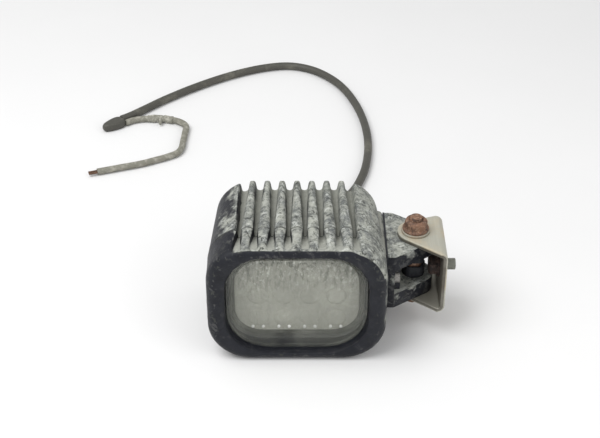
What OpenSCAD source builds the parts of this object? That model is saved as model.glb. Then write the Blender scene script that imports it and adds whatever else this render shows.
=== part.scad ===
// Heavy-duty LED work lamp with a rubber-damped swivel carrier and a U-bracket.
// Row frame: X to the right seen from the lens, Y to the rear, Z up, millimetres.
// The origin is the middle of the flat underside that the lamp rests on.

/* [Head] */
// Width of the head at the seam
head_w = 116; // [104:1:136]
// Height of the head at the seam
head_h = 90; // [84:1:106]
// Depth of the front bezel, rim to seam
bezel_d = 26; // [25:1:32]
// Depth of the rear housing, seam to the rear fins
housing_d = 58; // [52:1:70]
// Corner radius of the head's outline
corner_r = 28; // [24:1:32]
// Rear width of the housing as a share of its width at the seam
taper_x = 0.94; // [0.9:0.01:1]
// Rear height of the housing as a share of its height at the seam
taper_z = 0.99; // [0.93:0.005:1]
// Radius of the bezel's front edge
rim_r = 6; // [3:0.5:7]
// Radius of the housing's rear edge
back_r = 5; // [3:0.5:6]

/* [Cooling fins] */
// Number of valleys across the top and the underside
valley_count = 8; // [4:1:8]
// Distance between valleys at the front rim
valley_pitch_front = 10.9; // [9.6:0.1:11]
// Distance between valleys at the rear
valley_pitch_rear = 9.8; // [9:0.1:10.5]
// Depth of a valley
valley_depth = 8; // [5:0.5:9]
// Depth of a valley down the back
back_valley_depth = 3; // [2:0.5:7]
// Valley width at the seam
valley_w_seam = 4; // [3:0.1:4.5]
// Valley width at the rear
valley_w_rear = 5.6; // [4:0.1:6]
// Valley width at the front rim
valley_w_rim = 6.4; // [4:0.1:7]
// Valley depth left at the front rim
valley_rim_depth = 1.2; // [0.5:0.1:2]
// Number of horizontal grooves in the free side
side_groove_count = 4; // [2:1:4]
// Distance between the side grooves
side_groove_pitch = 11; // [9:0.5:12]
// Depth of a side groove
side_groove_depth = 3; // [1:0.5:3.5]
// Width of a side groove
side_groove_w = 4; // [2:0.5:5]
// How far the side grooves run on into the bezel
bezel_groove_l = 19; // [6:0.5:20]

/* [Lens and light engine] */
// Width of the bezel's opening
opening_w = 92; // [84:1:94]
// Height of the bezel's opening
opening_h = 77; // [70:1:78]
// How far the lens sits behind the front rim
lens_recess = 6; // [5:0.5:7]
// Gap between the lens's edge and the opening
lens_gap = 0.3; // [0.2:0.1:0.5]
// Lens thickness
lens_t = 3.5; // [3:0.5:4]
// Width of the cavity behind the lens
cavity_w = 87; // [85:1:88]
// Height of the cavity behind the lens
cavity_h = 65; // [62:1:66]
// Width of the optic plate
optic_w = 81; // [76:1:81]
// Height of the optic plate
optic_h = 57; // [54:1:62]
// Thickness of the optic plate
optic_t = 3; // [2:0.5:3]
// Spacing of the lamp's emitters across
led_pitch_x = 17; // [15:0.5:18]
// Spacing of the lamp's emitters up
led_pitch_z = 18; // [16:0.5:19]
// Thickness of the circuit boards
pcb_t = 1.6; // [1:0.1:2]

/* [Swivel bracket] */
// Distance from the head's side to the pivot axis
pivot_out = 20.5; // [19:0.5:23]
// Pivot axis behind the head's origin
pivot_y = 8.5; // [6:0.5:10]
// Height of the bracket's middle
bracket_z = 44; // [42:0.5:46]
// Inner height of the bracket
bracket_inner_h = 42; // [40:1:46]
// Thickness of the bracket's strip
bracket_t = 3; // [2:0.5:4]
// Width of the bracket's web
bracket_w = 44; // [40:1:46]
// How far the web's middle lies ahead of the pivot axis
web_ahead = 4.5; // [3:0.5:6]
// Distance from the pivot axis to the web's outer face
web_out = 19.5; // [19.5:0.5:24]
// Radius of the bracket's rounded ends
bracket_nose_r = 12; // [11:0.5:13]
// Outer radius of the bracket's bends
bend_r = 5; // [4:0.5:6]
// Thread radius of the pivot bolt
pivot_bolt_r = 4; // [4:0.5:4.5]
// Outer radius of the spacer tube
spacer_r = 5.5; // [5.5:0.1:6]
// Radius of the carrier's nose
nose_r = 13; // [12:0.5:14]
// Thickness of each ear of the carrier
ear_t = 11; // [8:0.5:12]
// Radius of the mounting bolt
mount_bolt_r = 4; // [3:0.5:5]
// Free length of the mounting bolt outside the web
mount_stub = 8; // [6:0.5:30]

/* [Cable] */
// Cable diameter
cable_d = 6.5; // [5:0.1:7]
// Tail lead diameter
tail_d = 5.2; // [4:0.1:5.5]
// Sideways place of the gland
gland_x = 22; // [18:0.5:23]
// Height of the gland
gland_z = 33; // [31:0.5:34]

/* [Hidden] */
$fn = 48;
slip = 0.05;            // clearance of a screw in its hole and of a running shaft
air = 0.3;              // gap between bodies that move past each other
e = 0.01;               // overrun of a cut

front_y = -44;
seam_y = front_y + bezel_d;
rear_y = seam_y + housing_d;
mid_z = head_h / 2;
half_w = head_w / 2;
core_rear_y = rear_y - back_valley_depth;

// Lens stack, from the front rim to the housing's front face.
lens_w = opening_w - 2 * lens_gap;
lens_h = opening_h - 2 * lens_gap;
lens_r = corner_r - lens_gap;
lens_y = front_y + lens_recess;
bead_y = lens_y + lens_t;
bead_t = 1;
ledge_y = bead_y + bead_t;      // the bezel's ledge that the lens is bonded to
cavity_r = 21;
tray_w = cavity_w - 1;
tray_h = cavity_h - 1;
tray_r = cavity_r - 0.5;
tray_wall = 1.6;
tray_lip_t = 2;
optic_gap = 0.3;
optic_r = 18;
optic_y = bead_y + 2.6;
tray_y = optic_y + 1;
pad_t = 0.6;
board_y = seam_y - pad_t - pcb_t;
board_gap = 0.4;                // between the light board and the tray's wall
board_w = tray_w - 2 * tray_wall - 2 * board_gap;
board_h = tray_h - 2 * tray_wall - 2 * board_gap;
board_r = 18;
emitter_t = 1.3;
optic_cone_r = 6.8;
optic_tip_r = 3;
optic_tip_gap = 0.5;
peg_r = 2;
gasket_w = 1.6;
gasket_in = 1.2;                // the gasket's gap to the cavity
board_screw_x = 33;
board_screw_z = 23;

// Fasteners.
m3_r = 1.5;
m3_head_r = 2.75;
m4_r = 2;
m4_head_r = 3.5;
m4_head_h = 4;
m5_r = 2.5;
m5_head_r = 4.25;
m5_head_h = 4;
m3_head_h = 2;
bezel_screw_in = 7.8;   // distance from the head's corner arc to the screw's axis
bezel_seat = 14;        // housing metal under the screw's head
bezel_bite = 11;        // thread in the bezel

// Driver pocket and board.
driver_w = 54;
driver_h = 40;
driver_pocket_d = 30;
driver_floor_y = seam_y + driver_pocket_d;
driver_boss_h = 10;
driver_boss_r = 3;
driver_gap = 3;         // between the board's edge and the pocket's wall
driver_boss_x = 20;
driver_boss_z = 13;
driver_y = driver_floor_y - driver_boss_h - pcb_t;
notch_w = 9;
notch_h = 12;
block_w = 10;
block_h = 9;
block_t = 8;
wire_r = 0.8;
wire_way_r = cable_d / 2 + 1.5;

// Gland and boot.
gland_boss_r = 12;
gland_seat_y = rear_y + 1;
gland_hex_r = 9.5;
gland_hex_t = 5;
gland_thread_r = 6;
gland_thread_l = 12;
gland_nut_l = 10;
gland_nut_r = 8.5;
boot_l = 26;
boot_r = 5.6;
boot_tip_r = 4.3;
vent_r = 5;
vent_z = mid_z + 17;

// Carrier and bracket heights.
pad_x_t = 1.2;
side_boss_h = 48;
carrier_x = half_w + pad_x_t;
carrier_t = 9;
carrier_front = 25.5;
carrier_rear = 25.5;
pivot_x = half_w + pivot_out;
low_z = bracket_z - bracket_inner_h / 2;
top_z = bracket_z + bracket_inner_h / 2;
carrier_low = low_z + air;
carrier_top = top_z - air;
web_x = pivot_x + web_out;
web_y = pivot_y - web_ahead;
bush_wall = 1.9;
bush_r = spacer_r + slip + bush_wall;
lobe_count = 5;
lobe_r = 1.6;
lobe_ring_r = bush_r - 0.95;    // where the lobes' middles sit
bush_gap = 3;           // the spacer shows between the two bushes
washer_t = 1.6;
washer_r = 9.5;
nut_flange_r = 9;
nut_r = 7.5;
nut_h = 8;
nut_flange_t = 2;
bolt_end = 2;
head_t = 6;
mount_head_t = 5.5;
mount_head_r = 7.5;
mount_washer_r = 8.5;
mount_washer_t = 1.4;
mount_shoulder_r = mount_bolt_r + 0.2; // bears in the web
mount_relief = 0.4;                    // how far the shoulder stands out of the web
carrier_screw_y = 18;

// Cable routes: points chosen by hand, on the floor behind and beside the lamp.
cable_z = 3.4;
tail_z = 2.8;
cable_route = [[22, 6, 33], [22, 40, 33], [22, 66, 33], [22.5, 84, 32], [25, 102, 26], [30, 119, 16.5],
    [36, 134, 8.5], [42, 148, 4.4], [48, 163, cable_z], [54, 184, cable_z], [57.5, 210, cable_z],
    [58, 236, cable_z], [55.5, 262, cable_z], [50, 288, cable_z], [41, 314, cable_z],
    [29, 334, cable_z], [12, 350, cable_z], [-9, 357, cable_z], [-34, 352, cable_z],
    [-62, 338, cable_z], [-90, 318, cable_z], [-114, 297, cable_z], [-131, 279.5, cable_z],
    [-142, 268.3, cable_z], [-149.6, 262.1, cable_z]];
tail_route = [[-145.5, 257, tail_z], [-139.5, 261.4, tail_z], [-131, 263.6, tail_z], [-121, 264, tail_z],
    [-110, 262.6, tail_z], [-101.5, 259, tail_z], [-96, 251, tail_z], [-94, 240, tail_z],
    [-94, 229, tail_z], [-96.6, 217, tail_z], [-103, 207, tail_z], [-113, 199, tail_z],
    [-126, 193, tail_z], [-143, 187, tail_z], [-160, 181, tail_z]];
cap_dir = -141;         // heading of the splice cap from its mouth to its closed end
cap_l = 17;
cap_w = 14;
cap_tip_r = 3.6;
cap_h = 7;
cap_mouth = [-147.5, 259.5];
tape_l = 15;
core_l = 7;
core_r = 0.9;

// Helpers ---------------------------------------------------------------------------------------

function lerp(a, b, t) = a + (b - a) * t;
// Closed solid through rings of equally many points, front ring first.
module skin(rings) {
    n = len(rings[0]);
    m = len(rings);
    pts = [for (ring = rings) each ring];
    front = [[for (i = [0:n - 1]) i]];
    back = [[for (i = [n - 1:-1:0]) (m - 1) * n + i]];
    sides = [for (k = [0:m - 2], i = [0:n - 1])
        let (a = k * n + i, b = k * n + (i + 1) % n)
        each [[a, a + n, b + n], [a, b + n, b]]];
    polyhedron(points = pts, faces = concat(front, sides, back), convexity = 6);
}

module rounded_2d(w, h, r) {
    square([w - 2 * r, h], center = true);
    square([w, h - 2 * r], center = true);
    for (sx = [-1, 1], sz = [-1, 1])
        translate([sx * (w / 2 - r), sz * (h / 2 - r)]) circle(r);
}

// Extrudes an X-Z drawing from y0 back to y1.
module along_y(y0, y1) translate([0, y1, 0]) rotate([90, 0, 0]) linear_extrude(y1 - y0) children();
module plate_y(w, h, r, y0, y1) along_y(y0, y1) translate([0, mid_z]) rounded_2d(w, h, r);
module rod_y(x, z, r, y0, y1) along_y(y0, y1) translate([x, z]) circle(r);
module rod_x(y, z, r, x0, x1) translate([x0, y, z]) rotate([0, 90, 0]) cylinder(h = x1 - x0, r = r);
module rod_z(r, z0, z1) translate([pivot_x, pivot_y, z0]) cylinder(h = z1 - z0, r = r);

// Straight round wire between two points.
module wire(p, q, r) {
    v = q - p;
    translate(p) rotate([0, acos(v[2] / norm(v)), atan2(v[1], v[0])]) cylinder(h = norm(v), r = r, $fn = 16);
}

// Point where the line from p touches the circle about c, on the given side.
function tangent(p, c, r, side) =
    let (d = norm(c - p), a = atan2(c[1] - p[1], c[0] - p[0]), b = asin(r / d), l = sqrt(d * d - r * r))
    p + l * [cos(a + side * b), sin(a + side * b)];

// Smooth curve through the route's points, with a middle point in each stretch.
function curve(p) =
    let (n = len(p))
    [for (i = [0:n - 1]) each (i == n - 1) ? [p[i]] :
        [p[i], (9 * (p[i] + p[i + 1]) - p[max(i - 1, 0)] - p[min(i + 2, n - 1)]) / 16]];
function heading(p, i) =
    let (v = p[min(i + 1, len(p) - 1)] - p[max(i - 1, 0)])
    v / norm(v);
// Round tube swept along a route.
module tube(route, d, sides) {
    p = curve(route);
    skin([for (i = [0:len(p) - 1])
        let (t = heading(p, i), u = cross([0, 0, 1], t) / norm(cross([0, 0, 1], t)), v = cross(t, u))
        [for (k = [0:sides - 1]) p[i] + d / 2 * (cos(360 * k / sides) * u - sin(360 * k / sides) * v)]]);
}

// Middle of valley i at a depth y, the valleys fan out towards the front rim.
function valley_x(i, y) =
    (i - (valley_count - 1) / 2) * lerp(valley_pitch_front, valley_pitch_rear, (y - front_y) / (rear_y - front_y));

bezel_screw_x = half_w - corner_r + (corner_r - bezel_screw_in) * cos(45);
bezel_screw_z = head_h / 2 - corner_r + (corner_r - bezel_screw_in) * sin(45);
module at_bezel_screws() for (sx = [-1, 1], sz = [-1, 1])
    translate([sx * bezel_screw_x, 0, mid_z + sz * bezel_screw_z]) children();
module at_board_screws() for (sx = [-1, 1], sz = [-1, 1])
    translate([sx * board_screw_x, 0, mid_z + sz * board_screw_z]) children();
module at_driver_screws() for (s = [[-1, -1], [-1, 1], [1, 1]])
    translate([s[0] * driver_boss_x, 0, mid_z + s[1] * driver_boss_z]) children();
module at_leds() for (ix = [-1.5:1:1.5], iz = [-1:1])
    translate([ix * led_pitch_x, 0, mid_z + iz * led_pitch_z]) children();

// Rear housing ----------------------------------------------------------------------------------

// Tapered block: a side drawing, a top drawing and the rounded front drawing, met together,
// with its four long corners cut back as it narrows.
module housing_outer() intersection() {
    across([[seam_y, 0], [rear_y - back_r, 0], [rear_y, back_r], [rear_y, head_h * taper_z - back_r],
        [rear_y - back_r, head_h * taper_z], [seam_y, head_h]]);
    translate([0, 0, -1]) linear_extrude(head_h + 2)
        polygon([[-half_w, seam_y], [half_w, seam_y], [half_w * taper_x, rear_y - back_r],
            [half_w * taper_x - back_r, rear_y], [back_r - half_w * taper_x, rear_y],
            [-half_w * taper_x, rear_y - back_r]]);
    plate_y(head_w, head_h, corner_r, seam_y, rear_y);
    for (s = [-1, 1]) corner_cut(s);
}
module corner_cut(s) {
    translate([0, 0, mid_z]) rotate([0, s * 45, 0]) linear_extrude(3 * head_w, center = true)
        polygon([[-diagonal, seam_y], [diagonal, seam_y], [diagonal * taper_x + 1, rear_y],
            [-diagonal * taper_x - 1, rear_y]]);
}

// What stays solid between the valleys: a block drawn from the side and extruded across the head.
module across(points) translate([-half_w, 0, 0]) rotate([90, 0, 90]) linear_extrude(head_w) polygon(points);
module housing_core() {
    low = valley_depth;
    high = head_h - valley_depth;
    soft = 2;
    across([[seam_y - 2, low], [core_rear_y - soft, low * taper_z], [core_rear_y, (low + soft) * taper_z],
        [core_rear_y, (high - soft) * taper_z], [core_rear_y - soft, high * taper_z], [seam_y - 2, high]]);
}

// Upright slots between y0 and y1 that part the fins, w0 and w1 wide at their ends.
module valley_slots(y0, w0, y1, w1) translate([0, 0, -1]) linear_extrude(head_h + 2)
    for (i = [0:valley_count - 1])
        polygon([[valley_x(i, y0) - w0 / 2, y0], [valley_x(i, y0) + w0 / 2, y0],
            [valley_x(i, y1) + w1 / 2, y1], [valley_x(i, y1) - w1 / 2, y1]]);

module side_grooves(y0, y1) for (i = [0:side_groove_count - 1])
    let (z = mid_z + (i - (side_groove_count - 1) / 2) * side_groove_pitch)
    translate([-half_w - 1, y0, z - side_groove_w / 2]) cube([side_groove_depth + 1, y1 - y0, side_groove_w]);

// Room for the cable's end between the gland and the driver pocket.
module wire_way() translate([gland_x - wire_way_r, seam_y - e, gland_z - wire_way_r])
    cube([2 * wire_way_r, driver_pocket_d + e, mid_z - gland_z + wire_way_r]);

module rear_housing() color("#6e6f6a") difference() {
    union() {
        difference() {
            union() {
                difference() {
                    housing_outer();
                    difference() {
                        valley_slots(seam_y - 1, valley_w_seam, rear_y + 1, valley_w_rear);
                        housing_core();
                    }
                }
                rod_y(gland_x, gland_z, gland_boss_r, driver_floor_y + 5, gland_seat_y);
                rod_y(0, vent_z, vent_r + 3, driver_floor_y + 5, rear_y);
                translate([half_w - 12, pivot_y - carrier_front, bracket_z - side_boss_h / 2])
                    cube([12, carrier_front + carrier_rear, side_boss_h]);
            }
            translate([-driver_w / 2, seam_y - e, mid_z - driver_h / 2])
                cube([driver_w, driver_pocket_d + e, driver_h]);
            wire_way();
            side_grooves(seam_y + 6, rear_y + 1);
        }
        at_driver_screws() rod_y(0, 0, driver_boss_r, driver_floor_y - driver_boss_h, driver_floor_y + e);
    }
    at_bezel_screws() {
        rod_y(0, 0, m4_r + slip, seam_y - e, rear_y + 1);
        rod_y(0, 0, m4_head_r + 0.25, seam_y + bezel_seat, rear_y + 1);
    }
    at_board_screws() rod_y(0, 0, m3_r + slip, seam_y - e, seam_y + 10);
    at_driver_screws() rod_y(0, 0, m3_r + slip, driver_floor_y - driver_boss_h - e, driver_floor_y + 2);
    rod_y(gland_x, gland_z, gland_thread_r + slip, gland_seat_y - gland_thread_l, gland_seat_y + e);
    rod_y(gland_x, gland_z, cable_d / 2 + 1, driver_floor_y - e, gland_seat_y);
    rod_y(0, vent_z, vent_r + slip, rear_y - 3, rear_y + e);
    rod_y(0, vent_z, 1.5, driver_floor_y - e, rear_y);
    for (s = [-1, 1]) rod_x(pivot_y + s * carrier_screw_y, bracket_z, m5_r + slip, half_w - 16, half_w + e);
    along_y(seam_y - e, seam_y + 1) gasket_2d(slip);
}

module breather_vent() color("#25262a") difference() {
    rod_y(0, vent_z, vent_r, rear_y - 3, rear_y - 0.5);
    for (i = [0:5]) rod_y(2.8 * cos(60 * i), vent_z + 2.8 * sin(60 * i), 0.6, rear_y - 2, rear_y);
}

// Bezel and lens --------------------------------------------------------------------------------

// The valleys' floor rises from the seam to the front rim.
module bezel_core() {
    floor_y = front_y + rim_r / 2;
    edge = valley_rim_depth + 1;
    across([[seam_y + 2, valley_depth], [seam_y + 2, head_h - valley_depth], [seam_y, head_h - valley_depth],
        [floor_y, head_h - edge], [front_y - 2, head_h + 2], [front_y - 2, -2], [floor_y, edge],
        [seam_y, valley_depth]]);
}

// Half-outline of the front edge about the head's axis: straight sides, rounded to the rim.
function rim_side(reach, up) = [for (a = up ? [0:30:90] : [90:-30:0])
    [(up ? 1 : -1) * (reach - rim_r + rim_r * cos(a)), front_y + rim_r - rim_r * sin(a)]];
function rim_outline(reach) = concat([[reach, seam_y]], rim_side(reach, true), rim_side(reach, false),
    [[-reach, seam_y]]);
diagonal = (half_w + mid_z - 2 * corner_r) * cos(45) + corner_r;

// Front block: the rounded front drawing met with its edge seen from above, from the side and askew.
module bezel_outer() intersection() {
    plate_y(head_w, head_h, corner_r, front_y, seam_y);
    translate([0, 0, -1]) linear_extrude(head_h + 2) polygon(rim_outline(half_w));
    across([for (q = rim_outline(mid_z)) [q[1], mid_z + q[0]]]);
    for (s = [-1, 1]) translate([0, 0, mid_z]) rotate([0, s * 45, 0])
        linear_extrude(3 * head_w, center = true) polygon(rim_outline(diagonal));
}

module front_bezel() color("#2b2e35") difference() {
    bezel_outer();
    difference() {
        valley_slots(front_y, valley_w_rim, seam_y + 1, valley_w_seam);
        bezel_core();
    }
    plate_y(opening_w, opening_h, corner_r, front_y - 1, ledge_y);
    plate_y(cavity_w, cavity_h, cavity_r, ledge_y - e, seam_y + 1);
    side_grooves(seam_y - bezel_groove_l, seam_y + 1);
    at_bezel_screws() rod_y(0, 0, m4_r + slip, seam_y - bezel_bite - 1, seam_y + e);
}

module gasket_2d(gap) translate([0, mid_z]) difference() {
    rounded_2d(cavity_w + 2 * (gasket_in + gasket_w + gap), cavity_h + 2 * (gasket_in + gasket_w + gap),
        cavity_r + gasket_in + gasket_w + gap);
    rounded_2d(cavity_w + 2 * (gasket_in - gap), cavity_h + 2 * (gasket_in - gap), cavity_r + gasket_in - gap);
}
module bezel_seal() color("#1c1c1e") along_y(seam_y, seam_y + 1) gasket_2d(0);

module bezel_screws() color("#8a8a86") at_bezel_screws() difference() {
    union() {
        rod_y(0, 0, m4_r, seam_y - bezel_bite, seam_y + bezel_seat);
        rod_y(0, 0, m4_head_r, seam_y + bezel_seat, seam_y + bezel_seat + m4_head_h);
    }
    along_y(seam_y + bezel_seat + 2, seam_y + bezel_seat + m4_head_h + e) circle(1.7, $fn = 6);
}

module lens() color([0.62, 0.64, 0.58, 0.5]) plate_y(lens_w, lens_h, lens_r, lens_y, bead_y);

// Bonding bead between the lens and the bezel's ledge.
module lens_seal() color("#1c1c1e") difference() {
    plate_y(lens_w, lens_h, lens_r, bead_y, ledge_y);
    plate_y(cavity_w + 1, cavity_h + 1, cavity_r + 0.5, bead_y - 1, ledge_y + 1);
}

// Dark tray that frames the optic plate.
module optic_tray() color("#55574f") difference() {
    plate_y(tray_w, tray_h, tray_r, tray_y, seam_y);
    plate_y(tray_w - 2 * tray_wall, tray_h - 2 * tray_wall, tray_r - tray_wall, tray_y + tray_lip_t, seam_y + 1);
    plate_y(optic_w + 2 * optic_gap, optic_h + 2 * optic_gap, optic_r + optic_gap, tray_y - 1, seam_y);
}

module optic_array() color([0.72, 0.73, 0.68]) {
    plate_y(optic_w, optic_h, optic_r, optic_y, optic_y + optic_t);
    tip_y = board_y - emitter_t - optic_tip_gap;
    at_leds() translate([0, tip_y, 0]) rotate([90, 0, 0])
        cylinder(h = tip_y - optic_y - optic_t + e, r1 = optic_tip_r, r2 = optic_cone_r);
    for (s = [-1, 1]) rod_y(s * 34, mid_z, peg_r, optic_y + optic_t - e, board_y);
}

module led_board() color("#d9dad4") difference() {
    plate_y(board_w, board_h, board_r, board_y, board_y + pcb_t);
    at_board_screws() rod_y(0, 0, m3_r + 0.1, board_y - 1, seam_y);
}
module thermal_pad() color("#8f93a0") difference() {
    plate_y(board_w, board_h, board_r, board_y + pcb_t, seam_y);
    at_board_screws() rod_y(0, 0, m3_r + 0.3, board_y, seam_y + 1);
    along_y(board_y, seam_y + 1) translate([0, mid_z]) square([driver_w, driver_h], center = true);
}
module led_emitters() color("#e6d36a") at_leds() {
    translate([-2, board_y - 0.6, -2]) cube([4, 0.6, 4]);
    rod_y(0, 0, 1.5, board_y - emitter_t, board_y - 0.6 + e);
}
module board_screws() color("#9a9a96") at_board_screws() {
    rod_y(0, 0, m3_r, board_y, seam_y + 9);
    rod_y(0, 0, m3_head_r, board_y - m3_head_h, board_y);
}

// Driver ----------------------------------------------------------------------------------------

module driver_board() color("#2f6b45") difference() {
    translate([-driver_w / 2 + driver_gap, driver_y, mid_z - driver_h / 2 + driver_gap])
        cube([driver_w - 2 * driver_gap, pcb_t, driver_h - 2 * driver_gap]);
    translate([driver_w / 2 - driver_gap - notch_w, driver_y - 1, mid_z - driver_h / 2])
        cube([notch_w + 1, pcb_t + 2, driver_gap + notch_h]);
    at_driver_screws() rod_y(0, 0, m3_r + 0.1, driver_y - 1, driver_y + pcb_t + 1);
}
module driver_inductor() color("#3a3a3c") rod_y(-11, mid_z, 6.5, driver_y - 9, driver_y);
module driver_capacitors() color("#4a4f63") for (x = [2, 11]) rod_y(x, mid_z + 9, 4, driver_y - 11, driver_y);
module driver_chips() color("#202022") for (x = [2, 10])
    translate([x - 2.5, driver_y - 1.5, mid_z - 3]) cube([5, 1.5, 6]);
module terminal_block() color("#2c7a4b")
    translate([0, driver_y - block_t, mid_z - driver_h / 2 + driver_gap + 1]) cube([block_w, block_t, block_h]);
module driver_screws() color("#9a9a96") at_driver_screws() {
    rod_y(0, 0, m3_r, driver_y, driver_floor_y + 1);
    rod_y(0, 0, m3_head_r, driver_y - m3_head_h, driver_y);
}
block_z = mid_z - driver_h / 2 + driver_gap + 1 + block_h / 2;
module inner_wires() color("#b5382e") for (s = [-1, 1]) {
    y = driver_y - block_t / 2;
    start = [gland_x, cable_route[0][1], gland_z + 1.6 * s];
    turn = [gland_x, y, block_z + 1.6 * s];
    wire(start, turn, wire_r);
    translate(turn) sphere(wire_r, $fn = 16);
    wire(turn, [block_w, y, block_z + 1.6 * s], wire_r);
    wire([block_w / 2 + 2 * s, driver_y - block_t, block_z], [block_w / 2 + 2 * s, board_y + pcb_t, block_z], wire_r);
}

// Gland and boot --------------------------------------------------------------------------------

gland_in_y = gland_seat_y + gland_hex_t;
gland_out_y = gland_in_y + gland_nut_l;
module gland_body() color("#1f2023") difference() {
    union() {
        along_y(gland_seat_y, gland_in_y) translate([gland_x, gland_z]) circle(gland_hex_r, $fn = 6);
        rod_y(gland_x, gland_z, gland_thread_r, gland_seat_y - gland_thread_l, gland_seat_y + e);
    }
    rod_y(gland_x, gland_z, cable_d / 2 + 0.1, gland_seat_y - gland_thread_l - 1, gland_in_y + 1);
}
module gland_seal() color("#3b3b3d") difference() {
    rod_y(gland_x, gland_z, 5.6, gland_in_y, gland_in_y + 6);
    rod_y(gland_x, gland_z, cable_d / 2 + slip, gland_in_y - 1, gland_in_y + 7);
}
module gland_nut() color("#1f2023") difference() {
    union() {
        along_y(gland_in_y, gland_in_y + 6) translate([gland_x, gland_z]) circle(gland_nut_r, $fn = 6);
        translate([gland_x, gland_out_y, gland_z]) rotate([90, 0, 0]) cylinder(h = 4, r1 = boot_r, r2 = 7.3);
    }
    rod_y(gland_x, gland_z, 5.6 + slip, gland_in_y - 1, gland_in_y + 6);
    rod_y(gland_x, gland_z, cable_d / 2 + 0.1, gland_in_y, gland_out_y + 1);
}
module strain_relief() color("#26272a") difference() {
    translate([gland_x, gland_out_y + boot_l, gland_z]) rotate([90, 0, 0])
        cylinder(h = boot_l, r1 = boot_tip_r, r2 = boot_r);
    rod_y(gland_x, gland_z, cable_d / 2 + slip, gland_out_y - 1, gland_out_y + boot_l + 1);
    for (i = [0:4]) rod_y_ring(gland_out_y + 3 + 4.4 * i);
}
// Shallow ring groove around the boot.
module rod_y_ring(y) difference() {
    rod_y(gland_x, gland_z, boot_r + 1, y, y + 1.6);
    rod_y(gland_x, gland_z, cable_d / 2 + 0.75, y - 1, y + 3);
}

// Carrier and bushes ----------------------------------------------------------------------------

module carrier_plan() {
    a = [carrier_x, pivot_y - carrier_front];
    b = [carrier_x + carrier_t * 0.55, pivot_y - carrier_front];
    c = [carrier_x + carrier_t * 0.55, pivot_y + carrier_rear];
    d = [carrier_x, pivot_y + carrier_rear];
    p = [pivot_x, pivot_y];
    polygon([a, b, tangent(b, p, nose_r, -1), p, tangent(c, p, nose_r, 1), c, d]);
    translate(p) circle(nose_r);
}

module side_carrier() color("#4a4b4c") difference() {
    union() {
        for (z = [carrier_low, carrier_top - ear_t]) translate([0, 0, z]) linear_extrude(ear_t) carrier_plan();
        translate([carrier_x, pivot_y - carrier_front, carrier_low])
            cube([carrier_t * 0.55, carrier_front + carrier_rear, carrier_top - carrier_low]);
        translate([carrier_x, pivot_y - carrier_front + 6, carrier_low])
            cube([carrier_t, carrier_front + carrier_rear - 12, carrier_top - carrier_low]);
    }
    rod_z(bush_r, carrier_low - 1, carrier_top + 1);
    for (s = [-1, 1]) {
        rod_x(pivot_y + s * carrier_screw_y, bracket_z, m5_r + slip, carrier_x - 1, carrier_x + carrier_t + 1);
        rod_x(pivot_y + s * carrier_screw_y, bracket_z, m5_head_r + 0.25,
            carrier_x + carrier_t - m5_head_h - 0.3, carrier_x + carrier_t + 20);
    }
}

module carrier_pad() color("#1e1f21") difference() {
    translate([half_w, pivot_y - carrier_front, bracket_z - side_boss_h / 2 + 3])
        cube([pad_x_t, carrier_front + carrier_rear, side_boss_h - 6]);
    for (s = [-1, 1]) rod_x(pivot_y + s * carrier_screw_y, bracket_z, m5_r + 0.3, half_w - 1, carrier_x + 1);
}

module carrier_screws() color("#77736c") for (s = [-1, 1]) difference() {
    union() {
        rod_x(pivot_y + s * carrier_screw_y, bracket_z, m5_r, half_w - 14, carrier_x + carrier_t - m5_head_h - 0.3);
        rod_x(pivot_y + s * carrier_screw_y, bracket_z, m5_head_r, carrier_x + carrier_t - m5_head_h - 0.3,
            carrier_x + carrier_t - 0.3);
    }
    translate([carrier_x + carrier_t - 2.5, pivot_y + s * carrier_screw_y, bracket_z]) rotate([0, 90, 0])
        cylinder(h = 3, r = 2, $fn = 6);
}

// Rubber bush: a sleeve in the ear, with lobes where it stands between the ears.
module bush(up) {
    z_in = up > 0 ? carrier_top - ear_t : carrier_low + ear_t;
    z_out = up > 0 ? carrier_top : carrier_low;
    z_face = bracket_z + up * bush_gap / 2;
    difference() {
        union() {
            rod_z(bush_r, min(z_face, z_out), max(z_face, z_out));
            for (i = [0:lobe_count - 1])
                translate([pivot_x + lobe_ring_r * cos(360 / lobe_count * i + 20),
                        pivot_y + lobe_ring_r * sin(360 / lobe_count * i + 20), min(z_face, z_in)])
                    cylinder(h = abs(z_in - z_face), r = lobe_r);
        }
        rod_z(spacer_r + slip, low_z, top_z);
    }
}
module upper_bush() color("#23262c") bush(1);
module lower_bush() color("#23262c") bush(-1);

// Bracket and bolts -----------------------------------------------------------------------------

module spacer_tube() color("#7c5a48") difference() {
    rod_z(spacer_r, low_z, top_z);
    rod_z(pivot_bolt_r + 0.1, low_z - 1, top_z + 1);
}

module bracket_plan() {
    corner_x = web_x - bend_r;
    f = [corner_x, web_y - bracket_w / 2];
    r = [corner_x, web_y + bracket_w / 2];
    p = [pivot_x, pivot_y];
    polygon([f, [web_x + 1, f[1]], [web_x + 1, r[1]], r, tangent(r, p, bracket_nose_r, -1), p,
        tangent(f, p, bracket_nose_r, 1)]);
    translate(p) circle(bracket_nose_r);
}
module bracket_profile(w, h, r) {
    translate([-w, -h / 2 ]) square([w - r, h]);
    translate([-w, -h / 2 + r]) square([w, h - 2 * r]);
    for (s = [-1, 1]) translate([-r, s * (h / 2 - r)]) circle(r);
}
module u_bracket() color("#b8b8a8") difference() {
    intersection() {
        translate([0, 0, low_z - bracket_t - 1]) linear_extrude(bracket_inner_h + 2 * bracket_t + 2) bracket_plan();
        along_y(web_y - bracket_w, web_y + bracket_w) translate([web_x, bracket_z]) difference() {
            bracket_profile(60, bracket_inner_h + 2 * bracket_t, bend_r);
            translate([-bracket_t, 0]) bracket_profile(60, bracket_inner_h, bend_r - bracket_t);
        }
    }
    rod_z(pivot_bolt_r + 0.1, low_z - bracket_t - 1, top_z + bracket_t + 1);
    rod_x(web_y, bracket_z, mount_shoulder_r + slip, web_x - bracket_t - 1, web_x + 1);
}

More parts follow.
